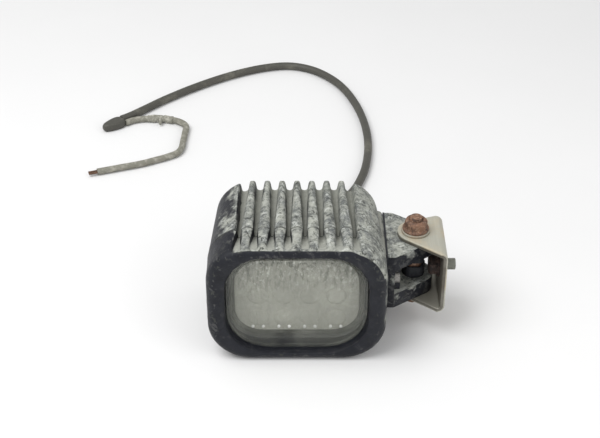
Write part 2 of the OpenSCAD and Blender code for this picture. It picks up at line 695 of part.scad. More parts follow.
washer_low_z = low_z - bracket_t - washer_t;
washer_top_z = top_z + bracket_t + washer_t;
module pivot_washers() color("#a8a598") for (z = [washer_low_z, washer_top_z - washer_t]) difference() {
    rod_z(washer_r, z, z + washer_t);
    rod_z(pivot_bolt_r + 0.2, z - 1, z + washer_t + 1);
}
module pivot_bolt() color("#7c5a48") {
    rod_z(pivot_bolt_r, washer_low_z, washer_top_z + nut_h + bolt_end);
    rod_z(nut_flange_r, washer_low_z - 1.5, washer_low_z);
    translate([pivot_x, pivot_y, washer_low_z - head_t]) cylinder(h = head_t - 1.5 + e, r = nut_r, $fn = 6);
}
module pivot_nut() color("#8a6550") difference() {
    union() {
        rod_z(nut_flange_r, washer_top_z, washer_top_z + nut_flange_t);
        translate([pivot_x, pivot_y, washer_top_z + nut_flange_t - e])
            cylinder(h = nut_h - nut_flange_t - 1.5, r = nut_r, $fn = 6);
        rod_z(6.2, washer_top_z + nut_flange_t, washer_top_z + nut_h);
    }
    rod_z(pivot_bolt_r + slip, washer_top_z - 1, washer_top_z + nut_h + 1);
}

mount_head_x = web_x - bracket_t - mount_washer_t;
module mount_washer() color("#4a3a34") difference() {
    rod_x(web_y, bracket_z, mount_washer_r, mount_head_x, mount_head_x + mount_washer_t);
    rod_x(web_y, bracket_z, mount_shoulder_r + 0.2, mount_head_x - 1, mount_head_x + mount_washer_t + 1);
}
module mount_bolt() color("#3a2c28") {
    translate([mount_head_x - mount_head_t, web_y, bracket_z]) rotate([0, 90, 0])
        cylinder(h = mount_head_t, r = mount_head_r, $fn = 6);
    rod_x(web_y, bracket_z, mount_shoulder_r, mount_head_x - e, web_x + mount_relief);
    rod_x(web_y, bracket_z, mount_bolt_r, web_x + mount_relief - e, web_x + mount_stub - 0.6);
    translate([web_x + mount_stub - 0.6, web_y, bracket_z]) rotate([0, 90, 0])
        cylinder(h = 0.6, r1 = mount_bolt_r, r2 = mount_bolt_r - 0.6);
}

// Cable and what is on it -----------------------------------------------------------------------

module lamp_cable() color("#5b5a54") tube(cable_route, cable_d, 10);
module tail_lead() color("#8f8d82") tube(tail_route, tail_d, 8);
module splice_cap() color("#3f3e3a") translate([cap_mouth[0], cap_mouth[1], 0]) rotate([0, 0, cap_dir])
    linear_extrude(cap_h) {
        polygon([[0, -cap_w / 2], [cap_l, -cap_tip_r], [cap_l, cap_tip_r], [0, cap_w / 2]]);
        translate([cap_l, 0]) circle(cap_tip_r);
    }
module tape_wrap() color("#a5a294") translate([-123, 263.6, tail_z]) rotate([0, 90, -4]) difference() {
    cylinder(h = tape_l, r = tail_d / 2 + 0.2);
    translate([0, 0, -1]) cylinder(h = tape_l + 2, r = tail_d / 2 - 0.1);
}
module tail_cores() color("#a0522d") for (s = [-1, 1])
    let (n = len(tail_route), t = heading(curve(tail_route), 2 * n - 2), p = tail_route[n - 1] + [-t[1], t[0], 0] * 1.1 * s)
    wire(p, p + t * core_l, core_r);

rear_housing();
front_bezel();
bezel_seal();
bezel_screws();
lens();
lens_seal();
optic_tray();
optic_array();
led_board();
led_emitters();
thermal_pad();
board_screws();
driver_board();
driver_inductor();
driver_capacitors();
driver_chips();
terminal_block();
driver_screws();
inner_wires();
breather_vent();
gland_body();
gland_seal();
gland_nut();
strain_relief();
side_carrier();
carrier_pad();
carrier_screws();
upper_bush();
lower_bush();
spacer_tube();
u_bracket();
pivot_bolt();
pivot_nut();
pivot_washers();
mount_bolt();
mount_washer();
lamp_cable();
splice_cap();
tail_lead();
tape_wrap();
tail_cores();
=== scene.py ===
"""A worn LED work lamp: finned cast head, recessed lens, rubber-damped swivel bracket and a cut cable.

Lengths are metres in the row frame: X to the right seen from the lens, Y to the rear, Z up.
"""

import logging
import math
from dataclasses import dataclass, field
from enum import Enum

import bmesh
import bpy
import numpy as np
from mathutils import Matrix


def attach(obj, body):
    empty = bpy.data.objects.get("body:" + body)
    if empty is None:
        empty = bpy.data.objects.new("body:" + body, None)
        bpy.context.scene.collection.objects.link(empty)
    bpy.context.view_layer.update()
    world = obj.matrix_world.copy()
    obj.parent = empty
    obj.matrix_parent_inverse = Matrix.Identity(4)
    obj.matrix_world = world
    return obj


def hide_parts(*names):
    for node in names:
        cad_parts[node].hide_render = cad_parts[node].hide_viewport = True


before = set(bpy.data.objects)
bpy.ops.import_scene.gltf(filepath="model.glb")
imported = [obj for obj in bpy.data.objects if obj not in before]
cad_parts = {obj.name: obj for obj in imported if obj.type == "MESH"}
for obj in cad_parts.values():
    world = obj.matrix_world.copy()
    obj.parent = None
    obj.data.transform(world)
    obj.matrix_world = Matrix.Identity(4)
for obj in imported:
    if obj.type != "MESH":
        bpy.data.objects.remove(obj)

log = logging.getLogger("work_lamp")
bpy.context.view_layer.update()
MM = 0.001
NO_MUD = -0.5  # the mark of skin that stays free of mud

Colour = tuple[float, float, float]
Point = tuple[float, float, float]
Value = bpy.types.NodeSocket | float | tuple[float, ...]


class Body(Enum):
    """The frame's moving bodies."""

    HEAD = "head"
    BRACKET = "bracket"
    STUD = "stud"


class Axis(Enum):
    """The axis that a turned piece follows."""

    X = "x"
    Y = "y"
    Z = "z"


class Solid(Enum):
    """What one closed mesh does to another."""

    JOIN = "UNION"
    CUT = "DIFFERENCE"


# Mesh building --------------------------------------------------------------------------------------


@dataclass
class Surface:
    """Collects grids of points, in millimetres, and makes one mesh of them.

    A vertex's mark is a number that materials read: 1 on a ridge, 0 in a hollow, and NO_MUD
    where no mud settles.
    """

    points: list[np.ndarray] = field(default_factory=list)
    marks: list[np.ndarray] = field(default_factory=list)
    faces: list[list[int]] = field(default_factory=list)
    count: int = 0

    def grid(self, points: np.ndarray, wrap: bool = False, marks: np.ndarray | None = None) -> np.ndarray:
        """Adds a grid of points joined by quads.

        Args:
            points: An array of rows by columns by 3.
            wrap: Whether the last column joins the first.
            marks: One mark for each point, or None for 0.5 everywhere.

        Returns:
            The index of each point, as rows by columns.
        """
        rows, cols = points.shape[:2]
        index = np.arange(rows * cols).reshape(rows, cols) + self.count
        ring = np.concatenate([index, index[:, :1]], axis=1) if wrap else index
        quads = np.stack([ring[:-1, :-1], ring[:-1, 1:], ring[1:, 1:], ring[1:, :-1]], axis=-1)
        self.faces += quads.reshape(-1, 4).tolist()
        self.points.append(points.reshape(-1, 3))
        self.marks.append(np.full(rows * cols, 0.5) if marks is None else marks.reshape(-1))
        self.count += rows * cols
        return index

    def cap(self, ring: np.ndarray) -> None:
        """Closes a ring of point indices with one face."""
        self.faces.append([int(i) for i in ring])

    def cap_ends(self, index: np.ndarray) -> None:
        """Closes the first and the last ring of a tube."""
        self.cap(index[0])
        self.cap(index[-1])

    def build(self, name: str, sharp_deg: float = 38.0) -> bpy.types.Object:
        """Makes the mesh object with merged seams, outward normals and smooth shading.

        Args:
            name: The object's name.
            sharp_deg: Edges that bend by more than this stay sharp.

        Returns:
            The new object, at the origin.
        """
        mesh = bpy.data.meshes.new(name)
        mesh.from_pydata((np.concatenate(self.points) * MM).tolist(), [], self.faces)
        mark = mesh.attributes.new("mark", "FLOAT", "POINT")
        mark.data.foreach_set("value", np.concatenate(self.marks).astype(np.float32))
        work = bmesh.new()
        work.from_mesh(mesh)
        bmesh.ops.remove_doubles(work, verts=work.verts, dist=2e-6)
        bmesh.ops.dissolve_degenerate(work, edges=work.edges, dist=1e-6)
        bmesh.ops.recalc_face_normals(work, faces=work.faces)
        work.to_mesh(mesh)
        work.free()
        mesh.polygons.foreach_set("use_smooth", [True] * len(mesh.polygons))
        mesh.set_sharp_from_angle(angle=math.radians(sharp_deg))
        piece = bpy.data.objects.new(name, mesh)
        bpy.context.collection.objects.link(piece)
        return piece


def smooth_step(x: np.ndarray, low: float, high: float) -> np.ndarray:
    """Rises from 0 at low to 1 at high as 3 t squared minus 2 t cubed."""
    t = np.clip((x - low) / (high - low), 0.0, 1.0)
    return t * t * (3.0 - 2.0 * t)


def waviness(x: np.ndarray, y: np.ndarray, z: np.ndarray, size: float) -> np.ndarray:
    """Slow unevenness of a sand casting: the sum of three crossed sine waves, at most size high."""
    return size / 3.0 * (np.sin(0.31 * x + 0.17 * z) + np.sin(0.23 * y - 0.29 * x + 1.1)
                         + np.sin(0.41 * z + 0.19 * y + 2.3))


def rounded_reach(theta: np.ndarray, width: float, height: float, radius: float) -> np.ndarray:
    """Distance from a rounded rectangle's middle to its edge along each direction.

    A ray meets the upright side, the level side or, between them, the corner's circle.

    Args:
        theta: Directions in radians.
        width: Full width.
        height: Full height.
        radius: Corner radius.

    Returns:
        One distance for each direction.
    """
    c, s = np.abs(np.cos(theta)) + 1e-9, np.abs(np.sin(theta)) + 1e-9
    p, q = width / 2 - radius, height / 2 - radius
    side, level = width / 2 / c, height / 2 / s
    along = c * p + s * q
    corner = along + np.sqrt(np.maximum(along * along - (p * p + q * q - radius * radius), 0.0))
    return np.where(side * s <= q, side, np.where(level * c <= p, level, corner))


def rounded_ring(theta: np.ndarray, y: float, mid_z: float, width: float, height: float,
                 radius: float) -> np.ndarray:
    """Points of a rounded rectangle that stands across the Y axis, one for each direction."""
    reach = rounded_reach(theta, width, height, radius)
    return np.stack([reach * np.cos(theta), np.full_like(theta, y), mid_z + reach * np.sin(theta)], axis=-1)


def rounded_plate(surface: Surface, y0: float, y1: float, mid_z: float, width: float, height: float,
                  radius: float, edge: float, columns: int = 96) -> None:
    """Adds a closed plate across the Y axis whose edges are rounded by quarter circles.

    Args:
        surface: What the plate is added to.
        y0: Its front face.
        y1: Its rear face.
        mid_z: Height of its middle.
        width: Full width.
        height: Full height.
        radius: Corner radius.
        edge: Radius of its rounded edges.
        columns: Points round the outline.
    """
    theta = np.linspace(0, 2 * np.pi, columns, endpoint=False)
    turn = np.linspace(0, np.pi / 2, 5)
    insets = np.concatenate([edge * (1 - np.sin(turn)), edge * (1 - np.cos(turn))])
    depths = np.concatenate([y0 + edge * (1 - np.cos(turn)), y1 - edge * (1 - np.sin(turn))])
    rings = np.stack([rounded_ring(theta, y, mid_z, width - 2 * i, height - 2 * i, max(radius - i, 0.3))
                      for i, y in zip(insets, depths)])
    index = surface.grid(rings, wrap=True)
    surface.cap_ends(index)


@dataclass(frozen=True)
class Turn:
    """One ring of a turned piece: how far along the axis, its radius and how much of a hexagon it is."""

    along: float
    radius: float
    hexagon: float = 0.0


def turned(surface: Surface, start: Point, axis: Axis, rings: list[Turn],
           columns: int = 72, lobes: int = 0, lobe_depth: float = 0.0, phase: float = 0.0,
           capped: bool = True) -> None:
    """Adds a closed turned piece, with flats or lobes where its rings ask for them.

    A hexagon's reach is its corner radius times cos 30 over the cosine of the angle from the
    nearest flat's middle. Lobes add their depth times a clipped cosine of the angle.

    Args:
        surface: What the piece is added to.
        start: Where the axis starts, in millimetres.
        axis: The axis it follows.
        rings: The rings in order along the axis.
        columns: Points round each ring.
        lobes: How many lobes stand out.
        lobe_depth: How far they stand out.
        phase: Turn of the lobes and flats, in radians.
        capped: Whether flat ends close it; otherwise the last ring joins the first.
    """
    theta = np.linspace(0, 2 * np.pi, columns, endpoint=False)
    flat = np.abs(np.mod(theta + phase + np.pi / 6, np.pi / 3) - np.pi / 6)
    hexagon = math.cos(math.pi / 6) / np.cos(flat)
    swell = lobe_depth * np.clip(0.4 + np.cos(lobes * (theta + phase)), 0, 1) if lobes else 0.0
    rows = []
    for ring in rings:
        reach = ring.radius * (1 + ring.hexagon * (hexagon - 1)) + swell
        u, v, w = reach * np.cos(theta), reach * np.sin(theta), np.full_like(theta, ring.along)
        order = {Axis.X: (w, u, v), Axis.Y: (u, w, v), Axis.Z: (u, v, w)}[axis]
        rows.append(np.stack(order, axis=-1) + np.array(start))
    if not capped:
        rows.append(rows[0])
    index = surface.grid(np.stack(rows), wrap=True)
    if capped:
        surface.cap_ends(index)


def curve_through(route: list[Point], steps: int) -> np.ndarray:
    """Points of the smooth curve through a route.

    Each stretch is a cubic whose tangent at a point is half of the way between its neighbours.

    Args:
        route: The points that the curve passes through.
        steps: Points in each stretch.

    Returns:
        The curve's points, as rows by 3.
    """
    p = np.array(route, dtype=float)
    before, after = np.vstack([p[:1], p[:-2]]), np.vstack([p[2:], p[-1:]])
    m0, m1 = (p[1:] - before) / 2, (after - p[:-1]) / 2
    t = np.linspace(0, 1, steps, endpoint=False)[None, :, None]
    h00, h10 = 2 * t**3 - 3 * t**2 + 1, t**3 - 2 * t**2 + t
    h01, h11 = -2 * t**3 + 3 * t**2, t**3 - t**2
    run = h00 * p[:-1, None] + h10 * m0[:, None] + h01 * p[1:, None] + h11 * m1[:, None]
    return np.vstack([run.reshape(-1, 3), p[-1:]])


def tube_grid(path: np.ndarray, radius: np.ndarray, columns: int = 20) -> np.ndarray:
    """Rings square to a path that lies nearly level.

    Args:
        path: The points that it follows.
        radius: The radius at each point, or at each point and column.
        columns: Points round each ring.

    Returns:
        Points as rows by columns by 3.
    """
    along = np.gradient(path, axis=0)
    along /= np.linalg.norm(along, axis=1, keepdims=True)
    side = np.cross(np.array([0.0, 0.0, 1.0]), along)
    side /= np.linalg.norm(side, axis=1, keepdims=True)
    up = np.cross(along, side)
    theta = np.linspace(0, 2 * np.pi, columns, endpoint=False)
    reach = np.broadcast_to(np.asarray(radius)[:, None] if np.ndim(radius) == 1 else radius,
                            (len(path), columns))[..., None]
    return (path[:, None] + reach * (np.cos(theta)[None, :, None] * side[:, None]
                                     + np.sin(theta)[None, :, None] * up[:, None]))


# Shader building ------------------------------------------------------------------------------------


class Shade:
    """Short calls for building a node tree, in a material or in a node group."""

    def __init__(self, tree: bpy.types.NodeTree) -> None:
        """Keeps the tree that the calls add to."""
        self.tree = tree

    def node(self, kind: str, settings: dict[str, str] | None = None, **inputs: Value) -> bpy.types.Node:
        """Adds a node.

        Args:
            kind: The node's type without the ShaderNode prefix.
            settings: Its properties.
            **inputs: Its inputs by name, with _ for a space: a socket is linked, anything else is a value.

        Returns:
            The new node.
        """
        made = self.tree.nodes.new("ShaderNode" + kind)
        for key, value in (settings or {}).items():
            setattr(made, key, value)
        for key, value in inputs.items():
            self.put(made.inputs[key.replace("_", " ")], value)
        return made

    def put(self, socket: bpy.types.NodeSocket, value: Value) -> None:
        """Links a socket to value, or sets it where value is a number or a colour.

        Args:
            socket: The input.
            value: A socket, a number or a colour.
        """
        if isinstance(value, bpy.types.NodeSocket):
            self.tree.links.new(value, socket)
        elif isinstance(value, tuple) and len(value) == 3 and socket.type == "RGBA":
            socket.default_value = (*value, 1.0)
        else:
            socket.default_value = value

    def math(self, operation: str, a: Value, b: Value = 0.0, clamp: bool = False) -> bpy.types.NodeSocket:
        """Adds a Math node.

        Args:
            operation: The node's operation.
            a: The first number.
            b: The second number.
            clamp: Whether the result is kept from 0 to 1.

        Returns:
            The result.
        """
        made = self.tree.nodes.new("ShaderNodeMath")
        made.operation, made.use_clamp = operation, clamp
        self.put(made.inputs[0], a)
        self.put(made.inputs[1], b)
        return made.outputs[0]

    def remap(self, value: Value, low: float, high: float, to_low: float = 0.0,
              to_high: float = 1.0) -> bpy.types.NodeSocket:
        """Maps value from low..high to to_low..to_high along a smooth step.

        Args:
            value: What is mapped.
            low: The range's start; it may be above its end.
            high: The range's end.
            to_low: The result at low and beyond.
            to_high: The result at high and beyond.

        Returns:
            The result.
        """
        if low > high:
            low, high, to_low, to_high = high, low, to_high, to_low
        made = self.node("MapRange", {"interpolation_type": "SMOOTHSTEP"}, Value=value)
        for name, number in (("From Min", low), ("From Max", high), ("To Min", to_low), ("To Max", to_high)):
            made.inputs[name].default_value = number
        return made.outputs["Result"]

    def mix(self, share: Value, a: Value, b: Value) -> bpy.types.NodeSocket:
        """Mixes two colours.

        Args:
            share: How much of the second colour shows.
            a: The first colour.
            b: The second colour.

        Returns:
            The mixed colour.
        """
        made = self.tree.nodes.new("ShaderNodeMix")
        made.data_type = "RGBA"
        self.put(made.inputs["Factor"], share)
        self.put(made.inputs[6], a)
        self.put(made.inputs[7], b)
        return made.outputs[2]

    def place(self) -> bpy.types.NodeSocket:
        """The object coordinates."""
        return self.node("TexCoord").outputs["Object"]

    def mark(self) -> bpy.types.NodeSocket:
        """The mark that the mesh carries."""
        return self.node("Attribute", {"attribute_name": "mark"}).outputs["Fac"]

    def noise(self, scale: Value, detail: float = 4.0, rough: float = 0.55, distort: float = 0.0,
              stretch: Point | None = None) -> bpy.types.NodeSocket:
        """Adds noise on the object coordinates.

        Args:
            scale: How fine it is.
            detail: How many layers it has.
            rough: How strong its finer layers are.
            distort: How much it is warped.
            stretch: Scale of the coordinates along each axis, or None.

        Returns:
            The noise's value.
        """
        where = self.place()
        if stretch is not None:
            where = self.node("Mapping", Vector=where, Scale=stretch).outputs[0]
        return self.node("TexNoise", Vector=where, Scale=scale, Detail=detail, Roughness=rough,
                         Distortion=distort).outputs["Fac"]

    def group(self, tree: bpy.types.NodeTree, **inputs: Value) -> bpy.types.Node:
        """Places a node group and sets its inputs.

        Args:
            tree: The group.
            **inputs: Its inputs by name, with _ for a space.

        Returns:
            The group's node.
        """
        made = self.tree.nodes.new("ShaderNodeGroup")
        made.node_tree = tree
        for key, value in inputs.items():
            self.put(made.inputs[key.replace("_", " ")], value)
        return made


def new_group(name: str, inputs: dict[str, float],
              outputs: list[str]) -> tuple[Shade, bpy.types.Node, bpy.types.Node]:
    """Starts a shader node group with number inputs and number outputs.

    Args:
        name: The group's name.
        inputs: Each input's name and its usual value.
        outputs: The outputs' names.

    Returns:
        The Shade that builds it, its input node and its output node.
    """
    tree = bpy.data.node_groups.new(name, "ShaderNodeTree")
    for key, value in inputs.items():
        tree.interface.new_socket(key, in_out="INPUT", socket_type="NodeSocketFloat").default_value = value
    for key in outputs:
        tree.interface.new_socket(key, in_out="OUTPUT", socket_type="NodeSocketFloat")
    return Shade(tree), tree.nodes.new("NodeGroupInput"), tree.nodes.new("NodeGroupOutput")


def dust_group() -> bpy.types.NodeTree:
    """Dried mud that lies on what faces up.

    The mud's level is half of the normal's height plus patchy noise plus the amount less 0.5, and
    the mask rises as the level passes 0.

    Returns:
        The group, with a mask of the mud and a fine grain.
    """
    usual = {"Amount": 0.5, "Patch": 0.35, "Scale": 60.0}
    shade, given, out = new_group("DriedMud", usual, ["Mask", "Fine"])
    upward = shade.node("SeparateXYZ", Vector=shade.node("TexCoord").outputs["Normal"]).outputs["Z"]
    patch = shade.noise(given.outputs["Scale"], 6.0, 0.62)
    spread = shade.math("MULTIPLY", shade.math("SUBTRACT", patch, 0.5), given.outputs["Patch"])
    level = shade.math("ADD", shade.math("MULTIPLY", upward, 0.5), shade.math("MULTIPLY", spread, 4.0))
    level = shade.math("ADD", level, shade.math("SUBTRACT", given.outputs["Amount"], 0.5))
    shade.put(out.inputs["Mask"], shade.remap(level, 0.02, 0.2))
    shade.put(out.inputs["Fine"], shade.noise(900.0, 3.0, 0.6))
    return shade.tree


def grain_group() -> bpy.types.NodeTree:
    """Height of a rough cast or corroded skin: coarse dimples plus fine grit.

    Returns:
        The group, with the height.
    """
    usual = {"Coarse": 0.5, "Fine": 0.5, "Scale": 400.0}
    shade, given, out = new_group("CastGrain", usual, ["Height"])
    coarse = shade.noise(given.outputs["Scale"], 5.0, 0.6)
    fine = shade.noise(2600.0, 2.0, 0.6)
    total = shade.math("ADD", shade.math("MULTIPLY", coarse, given.outputs["Coarse"]),
                       shade.math("MULTIPLY", fine, given.outputs["Fine"]))
    shade.put(out.inputs["Height"], total)
    return shade.tree


def speckle_group() -> bpy.types.NodeTree:
    """Scattered chips and spots: the peaks of noise above a cut that falls as the share grows.

    Returns:
        The group, with a mask of the spots.
    """
    shade, given, out = new_group("Speckle", {"Share": 0.4, "Scale": 220.0}, ["Mask"])
    noise = shade.noise(given.outputs["Scale"], 5.0, 0.7, 0.6)
    cut = shade.math("SUBTRACT", 0.78, shade.math("MULTIPLY", given.outputs["Share"], 0.4))
    shade.put(out.inputs["Mask"], shade.remap(shade.math("SUBTRACT", noise, cut), 0.0, 0.035))
    return shade.tree


class Groups:
    """The shader groups that several finishes share, built once."""

    def __init__(self) -> None:
        """Builds the three groups."""
        self.dust = dust_group()
        self.grain = grain_group()
        self.speckle = speckle_group()


GROUPS = Groups()


def start_material(name: str) -> tuple[bpy.types.Material, Shade, bpy.types.Node]:
    """Makes a material.

    Args:
        name: The material's name.

    Returns:
        The material, its Shade and its Principled node.
    """
    material = bpy.data.materials.new(name)
    material.use_nodes = True
    return material, Shade(material.node_tree), material.node_tree.nodes["Principled BSDF"]


def bump(shade: Shade, height: Value, strength: float, distance: float) -> bpy.types.NodeSocket:
    """A Bump node's normal, with its distance in metres."""
    return shade.node("Bump", Strength=strength, Distance=distance, Height=height).outputs["Normal"]


@dataclass(frozen=True)
class MuddyCasting:
    """Painted casting with worn ridges, dark spots and dried mud on what faces up.

    Mud grows with X by side_bias, ends just behind front_limit, clings to the right flank above
    patch_foot and thins by clean_left on the left flank. A dark line follows the seam.
    """

    name: str
    paint: Colour = (0.010, 0.011, 0.015)
    worn: Colour = (0.060, 0.061, 0.062)
    mud_light: Colour = (0.34, 0.35, 0.31)
    mud_dark: Colour = (0.115, 0.122, 0.118)
    mud_streak: Colour = (0.150, 0.160, 0.165)
    mud_powder: Colour = (0.50, 0.51, 0.47)
    light_grit: Colour = (0.43, 0.44, 0.40)
    dark_grit: Colour = (0.085, 0.09, 0.085)
    hollow: Colour = (0.34, 0.345, 0.305)
    spot: Colour = (0.045, 0.047, 0.043)
    chalk: Colour = (0.55, 0.57, 0.53)
    seam_dirt: Colour = (0.05, 0.052, 0.048)
    mud: float = 0.5
    wear: float = 0.5
    patch: float = 0.3
    side_bias: float = 2.0
    front_limit: float | None = None
    right_flank: tuple[float, float] = (0.034, 0.040)
    patch_foot: float = 0.066
    left_flank: tuple[float, float] = (-0.043, -0.036)
    clean_left: float = 0.0
    seam: float = -0.018

    def mud_amount(self, shade: Shade, where: bpy.types.Node, mark: Value) -> bpy.types.NodeSocket:
        """Works out how much mud lies at each place.

        Args:
            shade: What the nodes are added by.
            where: The node with the place's X, Y and Z.
            mark: The mesh's mark.

        Returns:
            The amount, for the mud's group.
        """
        amount = shade.math("ADD", self.mud, shade.math("MULTIPLY", where.outputs["X"], self.side_bias))
        if self.front_limit is not None:
            start, end = self.front_limit - 0.0008, self.front_limit + 0.0006
            amount = shade.math("ADD", amount, shade.remap(where.outputs["Y"], start, end, -1.0, 0.0))
            wobble = shade.math("MULTIPLY", shade.math("SUBTRACT", shade.noise(90.0, 4.0), 0.5), 0.012)
            height = shade.math("ADD", where.outputs["Z"], wobble)
            slab = shade.math("MULTIPLY", shade.remap(where.outputs["X"], *self.right_flank),
                              shade.remap(height, self.patch_foot, self.patch_foot + 0.0008))
            amount = shade.math("ADD", amount, shade.math("MULTIPLY", slab, 0.7))
        left = shade.remap(where.outputs["X"], *self.left_flank, -self.clean_left, 0.0)
        amount = shade.math("ADD", amount, left)
        return shade.math("ADD", amount, shade.remap(mark, NO_MUD + 0.1, -0.1, -1.0, 0.0))

    def mud_colour(self, shade: Shade, mark: Value, blotch: Value, fine: Value) -> bpy.types.NodeSocket:
        """Mixes dried mud: blotches with streaks, grit and powder, and an even colour in hollows.

        Args:
            shade: What the nodes are added by.
            mark: The mesh's mark.
            blotch: Noise of the blotches.
            fine: The mud's fine grain.

        Returns:
            The colour.
        """
        streak = shade.noise(150.0, 5.0, 0.65, 0.5, (1.0, 0.45, 1.0))
        grit = shade.noise(420.0, 5.0, 0.7, 0.3)
        mud = shade.mix(shade.remap(blotch, 0.36, 0.62), self.mud_dark, self.mud_light)
        mud = shade.mix(shade.remap(streak, 0.50, 0.62, 0.0, 0.55), mud, self.mud_streak)
        mud = shade.mix(shade.remap(grit, 0.50, 0.60, 0.0, 0.5), mud, self.light_grit)
        mud = shade.mix(shade.remap(grit, 0.47, 0.38, 0.0, 0.55), mud, self.dark_grit)
        mud = shade.mix(shade.remap(mark, 0.0, 0.35, 0.8, 0.0), mud, self.hollow)
        return shade.mix(shade.remap(fine, 0.52, 0.75, 0.0, 0.4), mud, self.mud_powder)

    def build(self) -> bpy.types.Material:
        """Layers paint, wear, mud, spots, chalk and the dark line of the castings' seam.

        Returns:
            The new material.
        """
        material, shade, skin = start_material(self.name)
        where = shade.node("SeparateXYZ", Vector=shade.place())
        mark = shade.mark()
        blotch = shade.noise(130.0, 6.0, 0.65, 0.4)
        amount = self.mud_amount(shade, where, mark)
        dust = shade.group(GROUPS.dust, Amount=amount, Patch=self.patch, Scale=75.0)
        muddy = dust.outputs["Mask"]
        wear = shade.group(GROUPS.speckle, Share=self.wear, Scale=160.0).outputs["Mask"]
        wear = shade.math("MULTIPLY", wear, shade.remap(mark, 0.3, 0.75, 0.35, 1.0))
        faded = tuple(1.4 * c + 0.003 for c in self.paint)
        colour = shade.mix(wear, shade.mix(shade.remap(blotch, 0.35, 0.7), self.paint, faded), self.worn)
        colour = shade.mix(muddy, colour, self.mud_colour(shade, mark, blotch, dust.outputs["Fine"]))
        spots = shade.group(GROUPS.speckle, Share=0.50, Scale=240.0).outputs["Mask"]
        spots = shade.math("MULTIPLY", spots, shade.remap(mark, 0.2, 0.7, 0.2, 1.0))
        colour = shade.mix(shade.math("MULTIPLY", spots, 0.85), colour, self.spot)
        chalk = shade.group(GROUPS.speckle, Share=0.50, Scale=170.0).outputs["Mask"]
        chalk = shade.math("MULTIPLY", chalk, shade.math("MULTIPLY", muddy, shade.remap(mark, 0.4, 0.8)))
        colour = shade.mix(shade.math("MULTIPLY", chalk, 0.6), colour, self.chalk)
        away = shade.math("ABSOLUTE", shade.math("SUBTRACT", where.outputs["Y"], self.seam))
        colour = shade.mix(shade.remap(away, 0.0003, 0.0009, 0.6, 0.0), colour, self.seam_dirt)
        shade.put(skin.inputs["Base Color"], colour)
        shade.put(skin.inputs["Roughness"], shade.math("ADD", 0.48, shade.math("MULTIPLY", muddy, 0.4)))
        skin.inputs["Specular IOR Level"].default_value = 0.22
        grain = shade.group(GROUPS.grain, Coarse=0.8, Fine=0.35, Scale=330.0).outputs["Height"]
        lump = shade.math("MULTIPLY", muddy, shade.math("ADD", 0.8, blotch))
        shade.put(skin.inputs["Normal"], bump(shade, shade.math("ADD", grain, lump), 0.55, 0.0006))
        return material


@dataclass(frozen=True)
class RustySteel:
    """Steel gone to rust, with brighter flecks whose colour is partly rust and partly painted highlight."""

    name: str
    deep: Colour = (0.085, 0.050, 0.036)
    rust: Colour = (0.235, 0.132, 0.085)
    # lighter flecks: partly rust, partly painted highlight
    flake_and_highlight: Colour = (0.42, 0.29, 0.21)
    bare: Colour = (0.30, 0.31, 0.28)
    bright_from: float | None = None

    def build(self) -> bpy.types.Material:
        """Mixes two rust colours and a lighter fleck colour, partly painted highlight, by two sizes of noise,
        and bares grey steel past a place along X.

        Returns:
            The new material.
        """
        material, shade, skin = start_material(self.name)
        broad = shade.noise(260.0, 6.0, 0.7, 0.5)
        flake_and_highlight_mask = shade.group(GROUPS.speckle, Share=0.55, Scale=520.0).outputs["Mask"]
        colour = shade.mix(shade.remap(broad, 0.34, 0.6), self.deep, self.rust)
        # scattered flecks in the colour of the highlights: partly rust, partly painted highlight
        colour = shade.mix(shade.math("MULTIPLY", flake_and_highlight_mask, 0.7), colour, self.flake_and_highlight)
        if self.bright_from is not None:
            across = shade.node("SeparateXYZ", Vector=shade.place()).outputs["X"]
            share = shade.remap(across, self.bright_from, self.bright_from + 0.0005)
            share = shade.math("MULTIPLY", share, shade.remap(broad, 0.36, 0.5, 0.55, 1.0))
            colour = shade.mix(share, colour, self.bare)
        shade.put(skin.inputs["Base Color"], colour)
        shade.put(skin.inputs["Roughness"], shade.remap(broad, 0.3, 0.7, 0.62, 0.9))
        skin.inputs["Metallic"].default_value = 0.25
        grain = shade.group(GROUPS.grain, Coarse=1.0, Fine=0.4, Scale=900.0).outputs["Height"]
        shade.put(skin.inputs["Normal"], bump(shade, grain, 0.45, 0.00025))
        return material


